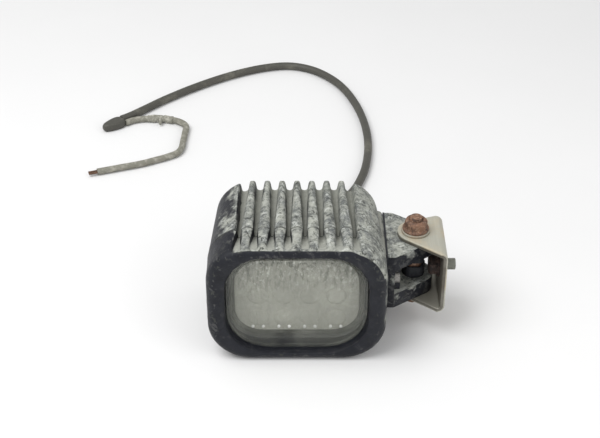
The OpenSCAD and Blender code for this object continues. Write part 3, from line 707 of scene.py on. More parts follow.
@dataclass(frozen=True)
class PlatedStrip:
    """Dull plated steel with light streaks, a warm stain and dust, and painted shade that darkens its inner
    face.
    """

    name: str
    metal: Colour = (0.40, 0.395, 0.335)
    stain: Colour = (0.56, 0.42, 0.24)
    # painted shade for the strip's inner face
    dirt_and_shade: Colour = (0.105, 0.095, 0.078)
    light: Colour = (0.53, 0.53, 0.46)
    dust: Colour = (0.55, 0.54, 0.46)
    pit: Colour = (0.10, 0.07, 0.05)

    def build(self) -> bpy.types.Material:
        """Layers metal, streaks, stain, painted shade on the inner face, dust and pits.

        Returns:
            The new material.
        """
        material, shade, skin = start_material(self.name)
        broad = shade.noise(45.0, 4.0, 0.6, 0.3)
        streak = shade.noise(120.0, 4.0, 0.6, 0.0, (6.0, 0.35, 6.0))
        mark = shade.mark()
        dust = shade.group(GROUPS.dust, Amount=0.42, Patch=0.22, Scale=70.0)
        colour = shade.mix(shade.remap(streak, 0.4, 0.65, 0.0, 0.35), self.metal, self.light)
        colour = shade.mix(shade.remap(broad, 0.42, 0.70, 0.0, 0.65), colour, self.stain)
        # painted shade: the inner face, marked low, turns dark
        low = shade.math("MULTIPLY", shade.remap(mark, 0.55, 0.35), shade.remap(broad, 0.3, 0.6, 0.72, 0.98))
        colour = shade.mix(low, colour, self.dirt_and_shade)
        colour = shade.mix(shade.math("MULTIPLY", dust.outputs["Mask"], 0.35), colour, self.dust)
        pits = shade.group(GROUPS.speckle, Share=0.22, Scale=420.0).outputs["Mask"]
        colour = shade.mix(shade.math("MULTIPLY", pits, 0.7), colour, self.pit)
        shade.put(skin.inputs["Base Color"], colour)
        shade.put(skin.inputs["Roughness"], shade.remap(broad, 0.3, 0.7, 0.42, 0.66))
        skin.inputs["Metallic"].default_value = 0.45
        grain = shade.group(GROUPS.grain, Coarse=0.6, Fine=0.3, Scale=500.0).outputs["Height"]
        shade.put(skin.inputs["Normal"], bump(shade, grain, 0.3, 0.0003))
        return material


@dataclass(frozen=True)
class DirtyRubber:
    """Rubber or sheath with dried dirt in patches and rubbed places."""

    name: str
    base: Colour = (0.020, 0.022, 0.028)
    dirt_and_shade: Colour = (0.16, 0.155, 0.13)
    share: float = 0.35
    rough: float = 0.7
    scale: float = 160.0

    def build(self) -> bpy.types.Material:
        """Mixes the base and the dirt by patchy noise.

        Returns:
            The new material.
        """
        material, shade, skin = start_material(self.name)
        broad = shade.noise(self.scale, 6.0, 0.65, 0.3)
        fine = shade.noise(1500.0, 3.0, 0.6)
        low = 0.66 - 0.4 * self.share
        colour = shade.mix(shade.remap(broad, low, low + 0.22), self.base, self.dirt_and_shade)
        colour = shade.mix(shade.remap(fine, 0.56, 0.74, 0.0, 0.3), colour,
                           tuple(min(1.0, 1.7 * c + 0.02) for c in self.dirt_and_shade))
        spots = shade.group(GROUPS.speckle, Share=0.28, Scale=480.0).outputs["Mask"]
        colour = shade.mix(shade.math("MULTIPLY", spots, 0.6), colour, tuple(0.4 * c for c in self.base))
        shade.put(skin.inputs["Base Color"], colour)
        roughest = min(1.0, self.rough + 0.15)
        shade.put(skin.inputs["Roughness"], shade.remap(broad, 0.3, 0.7, self.rough, roughest))
        shade.put(skin.inputs["Normal"], bump(shade, shade.math("ADD", broad, fine), 0.35, 0.00035))
        return material


@dataclass(frozen=True)
class HazedLens:
    """Clear plastic lens, hazed by a film of dust that is thicker in patches."""

    name: str
    film: Colour = (0.335, 0.345, 0.300)
    speck: Colour = (0.50, 0.51, 0.46)
    clear: float = 0.05
    thick: float = 0.24

    def build(self) -> bpy.types.Material:
        """Sets how solid the film is by broad and fine noise.

        Returns:
            The new material.
        """
        material, shade, skin = start_material(self.name)
        broad = shade.noise(38.0, 4.0, 0.6, 0.6)
        fine = shade.noise(700.0, 4.0, 0.7)
        film = shade.remap(broad, 0.32, 0.70, self.clear, self.thick)
        film = shade.math("ADD", film, shade.remap(fine, 0.55, 0.78, 0.0, 0.22), clamp=True)
        colour = shade.mix(shade.remap(fine, 0.5, 0.8), self.film, self.speck)
        shade.put(skin.inputs["Base Color"], colour)
        shade.put(skin.inputs["Alpha"], film)
        skin.inputs["Roughness"].default_value = 0.16
        skin.inputs["Specular IOR Level"].default_value = 0.55
        return material


@dataclass(frozen=True)
class StreakedAcrylic:
    """Moulded optic plate: milky, with short upright streaks that thicken towards its top."""

    name: str
    milk: Colour = (0.40, 0.405, 0.35)
    shade_colour: Colour = (0.13, 0.135, 0.11)
    glint: Colour = (0.75, 0.76, 0.70)
    middle: float = 0.045

    def build(self) -> bpy.types.Material:
        """Mixes streaks and glints into the milky base by height.

        Returns:
            The new material.
        """
        material, shade, skin = start_material(self.name)
        height = shade.node("SeparateXYZ", Vector=shade.place()).outputs["Z"]
        upper = shade.remap(height, self.middle - 0.004, self.middle + 0.026, 0.15, 1.0)
        streak = shade.noise(400.0, 5.0, 0.65, 0.2, (1.0, 1.0, 0.30))
        dots = shade.noise(520.0, 4.0, 0.7, 0.2, (1.0, 1.0, 0.55))
        dark = shade.math("MULTIPLY", shade.remap(streak, 0.50, 0.58), upper)
        light = shade.math("MULTIPLY", shade.remap(dots, 0.56, 0.62), upper)
        colour = shade.mix(shade.math("MULTIPLY", dark, 0.75), self.milk, self.shade_colour)
        colour = shade.mix(shade.math("MULTIPLY", light, 0.9), colour, self.glint)
        shade.put(skin.inputs["Base Color"], colour)
        skin.inputs["Roughness"].default_value = 0.28
        shade.put(skin.inputs["Normal"], bump(shade, shade.math("ADD", streak, dots), 0.5, 0.0006))
        return material


@dataclass(frozen=True)
class Moulded:
    """Plain moulded or printed material with fine grain and a little mottling."""

    name: str
    colour: Colour
    rough: float = 0.45
    metal: float = 0.0
    mottle: float = 0.12
    grain: float = 0.15
    scale: float = 300.0

    def build(self) -> bpy.types.Material:
        """Mottles the colour and roughens the skin.

        Returns:
            The new material.
        """
        material, shade, skin = start_material(self.name)
        broad = shade.noise(self.scale, 5.0, 0.6)
        dark = tuple(c * (1 - 2 * self.mottle) for c in self.colour)
        light = tuple(min(1.0, c * (1 + self.mottle) + 0.01 * self.mottle) for c in self.colour)
        shade.put(skin.inputs["Base Color"], shade.mix(shade.remap(broad, 0.3, 0.7), dark, light))
        roughest = min(1.0, self.rough + 0.12)
        shade.put(skin.inputs["Roughness"], shade.remap(broad, 0.3, 0.7, self.rough, roughest))
        skin.inputs["Metallic"].default_value = self.metal
        grain = shade.group(GROUPS.grain, Coarse=0.5, Fine=0.5, Scale=1200.0).outputs["Height"]
        shade.put(skin.inputs["Normal"], bump(shade, grain, self.grain, 0.0002))
        return material


def dress(piece: bpy.types.Object, material: bpy.types.Material) -> None:
    """Gives a piece one material."""
    piece.data.materials.clear()
    piece.data.materials.append(material)


def settle(piece: bpy.types.Object, body: Body, slot: str, *nodes: str) -> bpy.types.Object:
    """Makes a finished piece ride on its body and stand for its CAD nodes.

    Args:
        piece: The piece, in place.
        body: The body it moves with.
        slot: Not used.
        *nodes: The CAD nodes it stands for.

    Returns:
        The same piece.
    """
    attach(piece, body.value)
    if nodes:
        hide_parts(*nodes)
    log.info("%s rides on %s and stands for %s", piece.name, body.value, ", ".join(nodes) or "no node")
    return piece


# The head -------------------------------------------------------------------------------------------


@dataclass
class HeadShape:
    """Sizes of the cast head, in millimetres, and the formulas that its two castings share."""

    width: float = 116.0
    height: float = 90.0
    corner: float = 28.0
    front: float = -44.0
    seam: float = -18.0
    rear: float = 40.0
    taper_x: float = 0.94
    taper_z: float = 0.99
    valleys: int = 8
    pitch_front: float = 10.9
    pitch_rear: float = 9.8
    valley_depth: float = 8.0
    back_depth: float = 3.0
    rim: float = 6.0
    back: float = 5.0
    groove_pitch: float = 11.0
    groove_depth: float = 2.6
    groove_half: float = 2.3
    grooves: int = 4

    @property
    def mid(self) -> float:
        """Height of the head's middle."""
        return self.height / 2

    def pitch(self, y: float) -> float:
        """Distance between valleys at a depth."""
        share = (y - self.front) / (self.rear - self.front)
        return self.pitch_front + (self.pitch_rear - self.pitch_front) * share

    def top(self, x: np.ndarray) -> np.ndarray:
        """Height of the outline above the middle, at a distance from the middle plane."""
        over = np.clip(np.abs(x) - (self.width / 2 - self.corner), 0.0, self.corner)
        return self.mid - self.corner + np.sqrt(self.corner**2 - over**2)

    def valley_columns(self, pitch: float, half: float) -> tuple[np.ndarray, np.ndarray]:
        """Columns across the finned band, from right to left.

        In a valley, t runs from -1 to 1 across its mouth and the depth share stays near 1 on the
        floor, turns through a fillet and rises up a drafted wall. On a fin, q runs from 0 to 1 and
        the share is a low crown.

        Args:
            pitch: Distance between valleys.
            half: Half of a valley's width at its mouth.

        Returns:
            The columns' places across the head and their share of the valley's depth.
        """
        t = np.array([-1, -0.92, -0.82, -0.72, -0.62, -0.45, -0.2, 0, 0.2, 0.45, 0.62, 0.72, 0.82, 0.92, 1])
        depth = np.interp(np.abs(t), [0, 0.2, 0.45, 0.62, 0.72, 0.82, 0.92, 1],
                          [1, 0.985, 0.95, 0.86, 0.70, 0.48, 0.31, 0.21])
        q = np.array([0.14, 0.32, 0.5, 0.68, 0.86])
        crown = 0.19 * (2 * np.abs(q - 0.5)) ** 2
        places, shares = [], []
        for i in range(self.valleys):
            centre = (i - (self.valleys - 1) / 2) * pitch
            places.append(centre + t * half)
            shares.append(depth)
            if i < self.valleys - 1:
                places.append(centre + half + q * (pitch - 2 * half))
                shares.append(crown)
        return np.concatenate(places)[::-1], np.concatenate(shares)[::-1]

    def groove(self, z: np.ndarray) -> np.ndarray:
        """Share of a side groove's depth at a height: rounded slots at an even pitch.

        Args:
            z: Heights.

        Returns:
            The share at each height.
        """
        centres = self.mid + (np.arange(self.grooves) - (self.grooves - 1) / 2) * self.groove_pitch
        away = np.min(np.abs(z[..., None] - centres), axis=-1)
        return 1 - smooth_step(away, self.groove_half * 0.55, self.groove_half * 1.15)


@dataclass
class RearHousing:
    """The finned rear casting: a shell of rows over the top and down the back, its bosses and its bores."""

    shape: HeadShape
    seam_chamfer: float = 0.8
    mouth_seam: float = 1.6
    mouth_rear: float = 3.3
    shoulder_gap: float = 0.9
    shoulder_columns: int = 12
    top_rows: int = 22
    turn_rows: int = 7
    back_rows: int = 9
    flank_rows: int = 49
    uneven: float = 0.22
    groove_start: tuple[float, float] = (5.0, 8.0)
    groove_reach: tuple[float, float] = (17.5, 21.0)
    side_boss: tuple[float, ...] = (46.0, 58.0, -17.0, 34.0, 20.0, 68.0)
    side_boss_edge: float = 3.5
    pocket: tuple[float, float, float] = (54.0, 30.0, 40.0)
    collar_front: float = 18.0
    gland_place: tuple[float, float] = (22.0, 33.0)
    gland_collar_r: float = 12.4
    gland_collar_end: float = 41.0
    vent_z: float = 62.0
    vent_collar_r: float = 8.0
    vent_r: float = 5.05
    vent_floor: float = 37.0
    screw_in: float = 7.8
    channel_r: float = 3.75
    screw_floor: float = -4.0

    def rows(self) -> tuple[np.ndarray, np.ndarray, np.ndarray]:
        """Rows from the seam over the top and down the back to the middle.

        Returns:
            Each row's share along the top, its angle round the rear edge and its share down the back.
        """
        along = np.concatenate([[0, 0.012], np.linspace(0.03, 1, self.top_rows)])
        turn = np.linspace(0, np.pi / 2, self.turn_rows + 1)[1:]
        down = np.linspace(0, 1, self.back_rows + 1)[1:]
        return (np.concatenate([along, np.ones(len(turn) + len(down))]),
                np.concatenate([np.zeros(len(along)), turn, np.full(len(down), np.pi / 2)]),
                np.concatenate([np.zeros(len(along) + len(turn)), down]))

    def row_columns(self, along: float) -> tuple[np.ndarray, np.ndarray]:
        """Places across a row before the taper: the finned band, then each shoulder's circle.

        Args:
            along: The row's share along the top; the valleys grow wider with it.

        Returns:
            The columns' places across the head and their share of the valleys' depth.
        """
        s = self.shape
        flat = s.width / 2 - s.corner
        mouth = self.mouth_seam + (self.mouth_rear - self.mouth_seam) * along
        band, share = s.valley_columns(s.pitch(s.seam), mouth / (1 - (1 - s.taper_x) * along))
        start = math.asin((band[0] + self.shoulder_gap - flat) / s.corner)
        arc = np.sin(np.linspace(start, np.pi / 2, self.shoulder_columns)) * s.corner + flat
        none = np.zeros(len(arc))
        return np.concatenate([arc[::-1], band, -arc]), np.concatenate([none, share, none])

    def half(self, sign: float) -> tuple[np.ndarray, np.ndarray]:
        """The upper or lower half of the shell.

        Along the top a row follows the outline less the valleys' depth. Round the rear edge it
        turns through a quarter circle, and down the back it drops straight to the middle.

        Args:
            sign: 1 for the upper half, -1 for the lower one.

        Returns:
            The points, as rows by columns by 3, and their marks.
        """
        s = self.shape
        length = s.rear - s.back - s.seam
        grid, marks = [], []
        for along, angle, down in zip(*self.rows()):
            x, share = self.row_columns(along)
            lift = s.top(x)
            edge = np.clip(np.abs(x) - (s.width / 2 - s.back), 0, s.back)
            pull = s.back - np.sqrt(np.maximum(s.back**2 - edge**2, 0))
            reach = np.minimum(s.back, lift)
            y0 = s.seam + along * length
            y = y0 + (s.back - pull * (along >= 1) - share * s.back_depth) * np.sin(angle)
            z = lift - reach * (1 - np.cos(angle)) - down * (lift - reach)
            z = z - self.seam_chamfer * (along == 0)
            z = np.minimum(z, lift - share * s.valley_depth)
            z = z + waviness(x, y, z * sign, self.uneven) * np.cos(angle) * (along > 0)
            taper = np.clip((y0 + s.back * np.sin(angle) - s.seam) / (s.rear - s.seam), 0, 1)
            grid.append(np.stack([x * (1 - (1 - s.taper_x) * taper), y,
                                  (s.mid + sign * z) * (1 - (1 - s.taper_z) * taper)], axis=-1))
            marks.append(1 - share)
        return np.stack(grid), np.stack(marks)

    def shell(self) -> bpy.types.Object:
        """The closed shell: both halves, the flanks between them with their grooves and the seam face.

        Returns:
            The shell, without bosses and bores.
        """
        s = self.shape
        surface = Surface()
        upper, marks = self.half(1.0)
        lower, _ = self.half(-1.0)
        surface.grid(upper, marks=marks)
        surface.grid(lower, marks=marks)
        share = np.linspace(0, 1, self.flank_rows)[None, :, None]
        right, left = (upper[:, [side]] * (1 - share) + lower[:, [side]] * share for side in (0, -1))
        inner = smooth_step(left[..., 1], s.seam + self.groove_start[0], s.seam + self.groove_start[1])
        inner = inner * (1 - smooth_step(np.abs(left[..., 2] - s.mid), *self.groove_reach))
        left[..., 0] += s.groove_depth * s.groove(left[..., 2]) * inner
        surface.grid(right)
        surface.grid(left)
        surface.grid(np.stack([upper[0], lower[0]]))
        return surface.build("rear_casting")

    def collars(self) -> list[bpy.types.Object]:
        """The round seats of the gland and the breather vent, with rounded rear ends.

        Returns:
            The gland's collar and the vent's.
        """
        gland, vent = Surface(), Surface()
        front, r, end = self.collar_front, self.gland_collar_r, self.gland_collar_end
        turned(gland, (self.gland_place[0], 0.0, self.gland_place[1]), Axis.Y,
               [Turn(front, r), Turn(end - 1.4, r), Turn(end - 0.4, r - 0.4), Turn(end, r - 1.0)])
        r, end = self.vent_collar_r, self.shape.rear
        turned(vent, (0.0, 0.0, self.vent_z), Axis.Y,
               [Turn(front, r), Turn(end - 0.7, r), Turn(end - 0.2, r - 0.2), Turn(end, r - 0.7)])
        return [gland.build("gland_collar"), vent.build("vent_collar")]

    def pocket_cutter(self) -> bpy.types.Object:
        """The driver's pocket as a solid to cut with."""
        s, (wide, deep, tall) = self.shape, self.pocket
        return block("pocket_cutter", (-wide / 2, wide / 2, s.seam - 1.0, s.seam + deep,
                                       s.mid - tall / 2, s.mid + tall / 2), 0.0)

    def rear_bores(self) -> bpy.types.Object:
        """The breather vent's bore and the four channels to the bezel's screws.

        Returns:
            The bores as one mesh to cut with.
        """
        s = self.shape
        past = s.rear + 2
        vent = [Turn(self.vent_floor, self.vent_r), Turn(past, self.vent_r)]
        channel = [Turn(self.screw_floor, self.channel_r), Turn(past, self.channel_r)]
        bores = Surface()
        turned(bores, (0.0, 0.0, self.vent_z), Axis.Y, vent, 48)
        inward = (s.corner - self.screw_in) * math.cos(math.pi / 4) - s.corner
        for side in (-1, 1):
            for lift in (-1, 1):
                place = (side * (s.width / 2 + inward), 0.0, s.mid + lift * (s.mid + inward))
                turned(bores, place, Axis.Y, channel, 40)
        return bores.build("rear_bores")

    def build(self, finish: bpy.types.Material) -> bpy.types.Object:
        """Builds the shell with its bosses, pocket and bores, and dresses it.

        Args:
            finish: Its material.

        Returns:
            The finished casting.
        """
        piece = self.shell()
        join_solid(piece, block("side_boss", self.side_boss, self.side_boss_edge), Solid.JOIN)
        for collar in self.collars():
            join_solid(piece, collar, Solid.JOIN)
        join_solid(piece, self.pocket_cutter(), Solid.CUT)
        join_solid(piece, self.rear_bores(), Solid.CUT)
        dress(piece, finish)
        return settle(piece, Body.HEAD, "housing", "rear_housing")


def block(name: str, box: tuple[float, ...], edge: float) -> bpy.types.Object:
    """Makes a box, with rounded edges if asked.

    Args:
        name: The object's name.
        box: Its limits as x0, x1, y0, y1, z0, z1.
        edge: Radius of its rounded edges, or 0.

    Returns:
        The box.
    """
    x0, x1, y0, y1, z0, z1 = box
    surface = Surface()
    ring = np.array([[x0, z0], [x1, z0], [x1, z1], [x0, z1]])
    rows = [np.column_stack([ring[:, 0], np.full(4, y), ring[:, 1]]) for y in (y0, y1)]
    index = surface.grid(np.stack(rows), wrap=True)
    surface.cap_ends(index)
    piece = surface.build(name)
    if edge > 0:
        soften(piece, edge, 3)
    return piece


def soften(piece: bpy.types.Object, width: float, segments: int, angle: float = 30.0) -> None:
    """Rounds a piece's sharp edges in its mesh.

    Args:
        piece: The piece.
        width: The rounding's width in millimetres.
        segments: Steps in the rounding.
        angle: Edges that bend by more than this many degrees are rounded.
    """
    work = bmesh.new()
    work.from_mesh(piece.data)
    bmesh.ops.dissolve_limit(work, angle_limit=math.radians(2), verts=work.verts, edges=work.edges)
    edges = [e for e in work.edges if len(e.link_faces) == 2 and e.calc_face_angle(0) > math.radians(angle)]
    bmesh.ops.bevel(work, geom=edges, offset=width * MM, segments=segments, profile=0.5, affect="EDGES",
                    clamp_overlap=True)
    work.to_mesh(piece.data)
    work.free()
    piece.data.polygons.foreach_set("use_smooth", [True] * len(piece.data.polygons))
    piece.data.set_sharp_from_angle(angle=math.radians(35))


def join_solid(piece: bpy.types.Object, other: bpy.types.Object, how: Solid) -> None:
    """Joins or cuts one closed mesh with another and drops the other.

    Args:
        piece: The mesh that is changed.
        other: The mesh that is used up.
        how: Whether the other is joined or cuts.
    """
    step = piece.modifiers.new(how.name.lower(), "BOOLEAN")
    step.operation, step.object, step.solver = how.value, other, "EXACT"
    bpy.context.view_layer.update()
    seen = piece.evaluated_get(bpy.context.evaluated_depsgraph_get())
    made = bpy.data.meshes.new_from_object(seen)
    piece.modifiers.clear()
    piece.data = made
    bpy.data.objects.remove(other, do_unlink=True)


@dataclass
class FrontBezel:
    """The front casting: one closed loop of rings from the seam, over the rim, into the opening and back.

    Each pair in lip is a share of the way from the rim to the opening and a depth behind the
    front. Each pair in throat is such a depth and how much the opening grows there.
    """

    shape: HeadShape
    opening: tuple[float, float, float] = (92.0, 77.0, 28.0)
    cavity: tuple[float, float, float] = (87.0, 65.0, 21.0)
    mouth_seam: float = 1.6
    mouth_rim: float = 4.2
    rim_valley: float = 1.7
    side_columns: int = 40
    seam_chamfer: float = 0.8
    groove_reach: float = 19.0
    rim_rows: int = 8
    lip: tuple[tuple[float, float], ...] = ((0.35, 0.15), (0.7, 0.55), (0.9, 1.1))
    throat: tuple[tuple[float, float], ...] = ((2.0, 0.7), (3.2, 0.25), (5.0, 0.1), (10.5, 0.0))
    uneven: float = 0.2

    def columns(self, y: float) -> tuple[np.ndarray, np.ndarray]:
        """Columns round the head: the finned bands above and below, and even steps down the flanks.

        Args:
            y: The depth whose valley places are used.

        Returns:
            Each column's direction and its share of the valleys' depth.
        """
        s = self.shape
        forward = np.clip((s.seam - y) / (s.seam - s.front), 0, 1)
        mouth = self.mouth_seam + (self.mouth_rim - self.mouth_seam) * forward
        band, share = s.valley_columns(s.pitch(y), mouth)
        upper = np.arctan2(s.top(band), band)
        first, last = upper[0], upper[-1]
        left = np.linspace(last, 2 * np.pi - last, self.side_columns + 2)[1:-1]
        right = np.linspace(2 * np.pi - first, 2 * np.pi + first, self.side_columns + 2)[1:-1]
        theta = np.concatenate([upper, left, 2 * np.pi - upper[::-1], right])
        none = np.zeros(self.side_columns)
        return theta, np.concatenate([share, none, share[::-1], none])

    def build(self, finish: bpy.types.Material) -> bpy.types.Object:
        """Builds and dresses the bezel.

        Args:
            finish: Its material.

        Returns:
            The finished casting.
        """
        s = self.shape
        rings, marks = [], []
        floor_y = s.front + s.rim * 0.45
        outer = [(s.seam, self.seam_chamfer), (s.seam - 0.5, 0.0)]
        outer += [(float(y), 0.0) for y in np.linspace(s.seam - 1.2, s.front + s.rim, 13)]
        for y, inset in outer:
            rings.append(self.outer_ring(y, inset, y, floor_y, marks))
        rim_y = s.front + s.rim
        for a in np.linspace(0, np.pi / 2, self.rim_rows + 1)[1:]:
            inset = s.rim * (1 - np.cos(a)) * 0.96
            rings.append(self.outer_ring(s.front + s.rim * (1 - np.sin(a)), inset, rim_y, floor_y, marks))
        theta, _ = self.columns(rim_y)
        inner = self.inner_rings(theta, rings[-1])
        clean = np.full(len(theta), NO_MUD)
        base = self.base_ring(rings[0])
        surface = Surface()
        surface.grid(np.stack([base] + rings + inner + [base]), wrap=True,
                     marks=np.stack([clean] + marks + [clean] * (len(inner) + 1)))
        piece = surface.build("front_casting", 42.0)
        dress(piece, finish)
        return settle(piece, Body.HEAD, "bezel", "front_bezel")

    def inner_rings(self, theta: np.ndarray, rim_ring: np.ndarray) -> list[np.ndarray]:
        """Rings from the rim over the lip, into the opening, onto the lens' ledge and back to the seam.

        Args:
            theta: The columns' directions.
            rim_ring: The rim's last ring.

        Returns:
            The rings in order.
        """
        s = self.shape
        rings = []
        wide, tall, radius = self.opening
        for t, dip in self.lip:
            lip = rounded_ring(theta, s.front + dip, s.mid, wide, tall, radius)
            rings.append(rim_ring * (1 - t) + lip * t + np.array([0.0, dip * 0.3, 0.0]))
        for dip, grow in self.throat:
            rings.append(rounded_ring(theta, s.front + dip, s.mid, wide + 2 * grow, tall + 2 * grow, radius))
        for y in (s.front + self.throat[-1][0], s.seam):
            rings.append(rounded_ring(theta, y, s.mid, *self.cavity))
        return rings

    def base_ring(self, seam_ring: np.ndarray) -> np.ndarray:
        """A ring on the seam face just inside the valleys, straight below or above each column.

        Args:
            seam_ring: The outer skin's ring at the seam.

        Returns:
            The ring's points.
        """
        s = self.shape
        theta, _ = self.columns(s.seam)
        ring = rounded_ring(theta, s.seam, s.mid, s.width - 6, s.height - 6, s.corner - 3)
        band = np.abs(seam_ring[:, 0]) < self.shape.pitch(s.seam) * s.valleys / 2
        up = np.sign(seam_ring[:, 2] - s.mid)
        ring[:, 0] = np.where(band, seam_ring[:, 0], ring[:, 0])
        drop = s.mid + up * (s.top(ring[:, 0]) - s.valley_depth - 2.0)
        ring[:, 2] = np.where(band, drop, ring[:, 2])
        return ring

    def outer_ring(self, y: float, inset: float, column_y: float, floor_y: float,
                   marks: list[np.ndarray]) -> np.ndarray:
        """One ring of the outer skin, sunk by the valleys and the side grooves.

        Args:
            y: The ring's depth.
            inset: How far the ring lies inside the full outline.
            column_y: The depth whose valley places it uses.
            floor_y: Where the valleys run out.
            marks: The list that the ring's marks are added to.

        Returns:
            The ring's points.
        """
        s = self.shape
        theta, share = self.columns(column_y)
        ring = rounded_ring(theta, y, s.mid, s.width - 2 * inset, s.height - 2 * inset, s.corner - inset)
        rise = np.clip((y - floor_y) / (s.seam - floor_y), 0, 1)
        depth = share * (self.rim_valley * smooth_step(np.array(y), s.front + 1.5, floor_y + 2.5)
                         + (s.valley_depth - self.rim_valley) * rise**1.15)
        up = np.sign(ring[:, 2] - s.mid)
        ring[:, 2] -= up * depth
        near = smooth_step(np.array(y), s.seam - self.groove_reach - 2, s.seam - self.groove_reach + 2)
        left = (ring[:, 0] < -s.width / 2 + 6) * near
        ring[:, 0] += s.groove_depth * s.groove(ring[:, 2]) * left
        swell = waviness(ring[:, 0], ring[:, 1], ring[:, 2], self.uneven)
        ring[:, 0] += swell * np.cos(theta) * (inset == 0)
        ring[:, 2] = np.clip(ring[:, 2] + swell * np.sin(theta) * (inset == 0), 0.0, None)
        marks.append(1 - share * smooth_step(np.array(y), s.front + 1.5, floor_y + 2.0))
        return ring


@dataclass
class LensAndOptics:
    """The hazed front lens and the moulded plate of twelve optics behind it."""

    lens_y: tuple[float, float] = (-38.0, -34.5)
    lens_size: tuple[float, float, float] = (91.4, 76.4, 27.7)
    plate_size: tuple[float, float, float] = (81.0, 57.0, 18.0)
    plate_y: tuple[float, float] = (-31.9, -28.9)
    pitch: tuple[float, float] = (17.0, 18.0)
    dome_r: float = 6.8
    dome_h: float = 1.0
    mid: float = 45.0
    cone: tuple[Turn, ...] = (Turn(-29.1, 6.8), Turn(-24.4, 4.6), Turn(-21.2, 3.0))
    # where the near-white dots of painted highlight sit along the plate's foot
    foot_highlight: tuple[float, float] = (3.4, -25.2)
    head_prism: tuple[float, float] = (3.2, 25.4)

    def build_lens(self, finish: bpy.types.Material) -> bpy.types.Object:
        """Builds and dresses the lens.

        Args:
            finish: Its material.

        Returns:
            The lens.
        """
        surface = Surface()
        rounded_plate(surface, *self.lens_y, self.mid, *self.lens_size, 0.7)
        piece = surface.build("front_lens")
        dress(piece, finish)
        return settle(piece, Body.HEAD, "lens", "lens")

    def build_optics(self, finish: bpy.types.Material, painted_highlight: bpy.types.Material) -> list[bpy.types.Object]:
        """Builds the plate with its domes and cones, and near-white dots along its foot that are painted
        highlights.

        Args:
            finish: The plate's material.
            painted_highlight: The painted highlights' material.

        Returns:
            The plate and the prism ends.
        """
        surface = Surface()
        front, back = self.plate_y
        rounded_plate(surface, front, back, self.mid, *self.plate_size, 0.6)
        foot = Surface()
        for column in range(4):
            x = (column - 1.5) * self.pitch[0]
            for row in range(3):
                z = self.mid + (row - 1) * self.pitch[1]
                angle = np.linspace(0.12, np.pi / 2, 7)
                dome = [Turn(front + 0.2 - self.dome_h * math.cos(a), self.dome_r * math.sin(a)) for a in angle]
                turned(surface, (x, 0, z), Axis.Y, dome + [Turn(front + 0.8, self.dome_r)], 40)
                turned(surface, (x, 0, z), Axis.Y, list(self.cone), 32)
            for side in (-1, 1):
                # near-white dots that are painted highlights
                away, up = self.foot_highlight
                turned(foot, (x + away * side, 0, self.mid + up), Axis.Y,
                       [Turn(front - 0.9, 0.6), Turn(front - 0.7, 1.0), Turn(front + 0.4, 1.1)], 16)
                away, up = self.head_prism
                turned(surface, (x + away * side, 0, self.mid + up), Axis.Y,
                       [Turn(front - 0.8, 0.8), Turn(front - 0.5, 1.3), Turn(front + 0.4, 1.4)], 16)
        plate = surface.build("optic_plate")
        dress(plate, finish)
        painted_highlight_dots = foot.build("optic_prisms")
        dress(painted_highlight_dots, painted_highlight)
        return [settle(plate, Body.HEAD, "optic", "optic_array"), settle(painted_highlight_dots, Body.HEAD, "optic")]


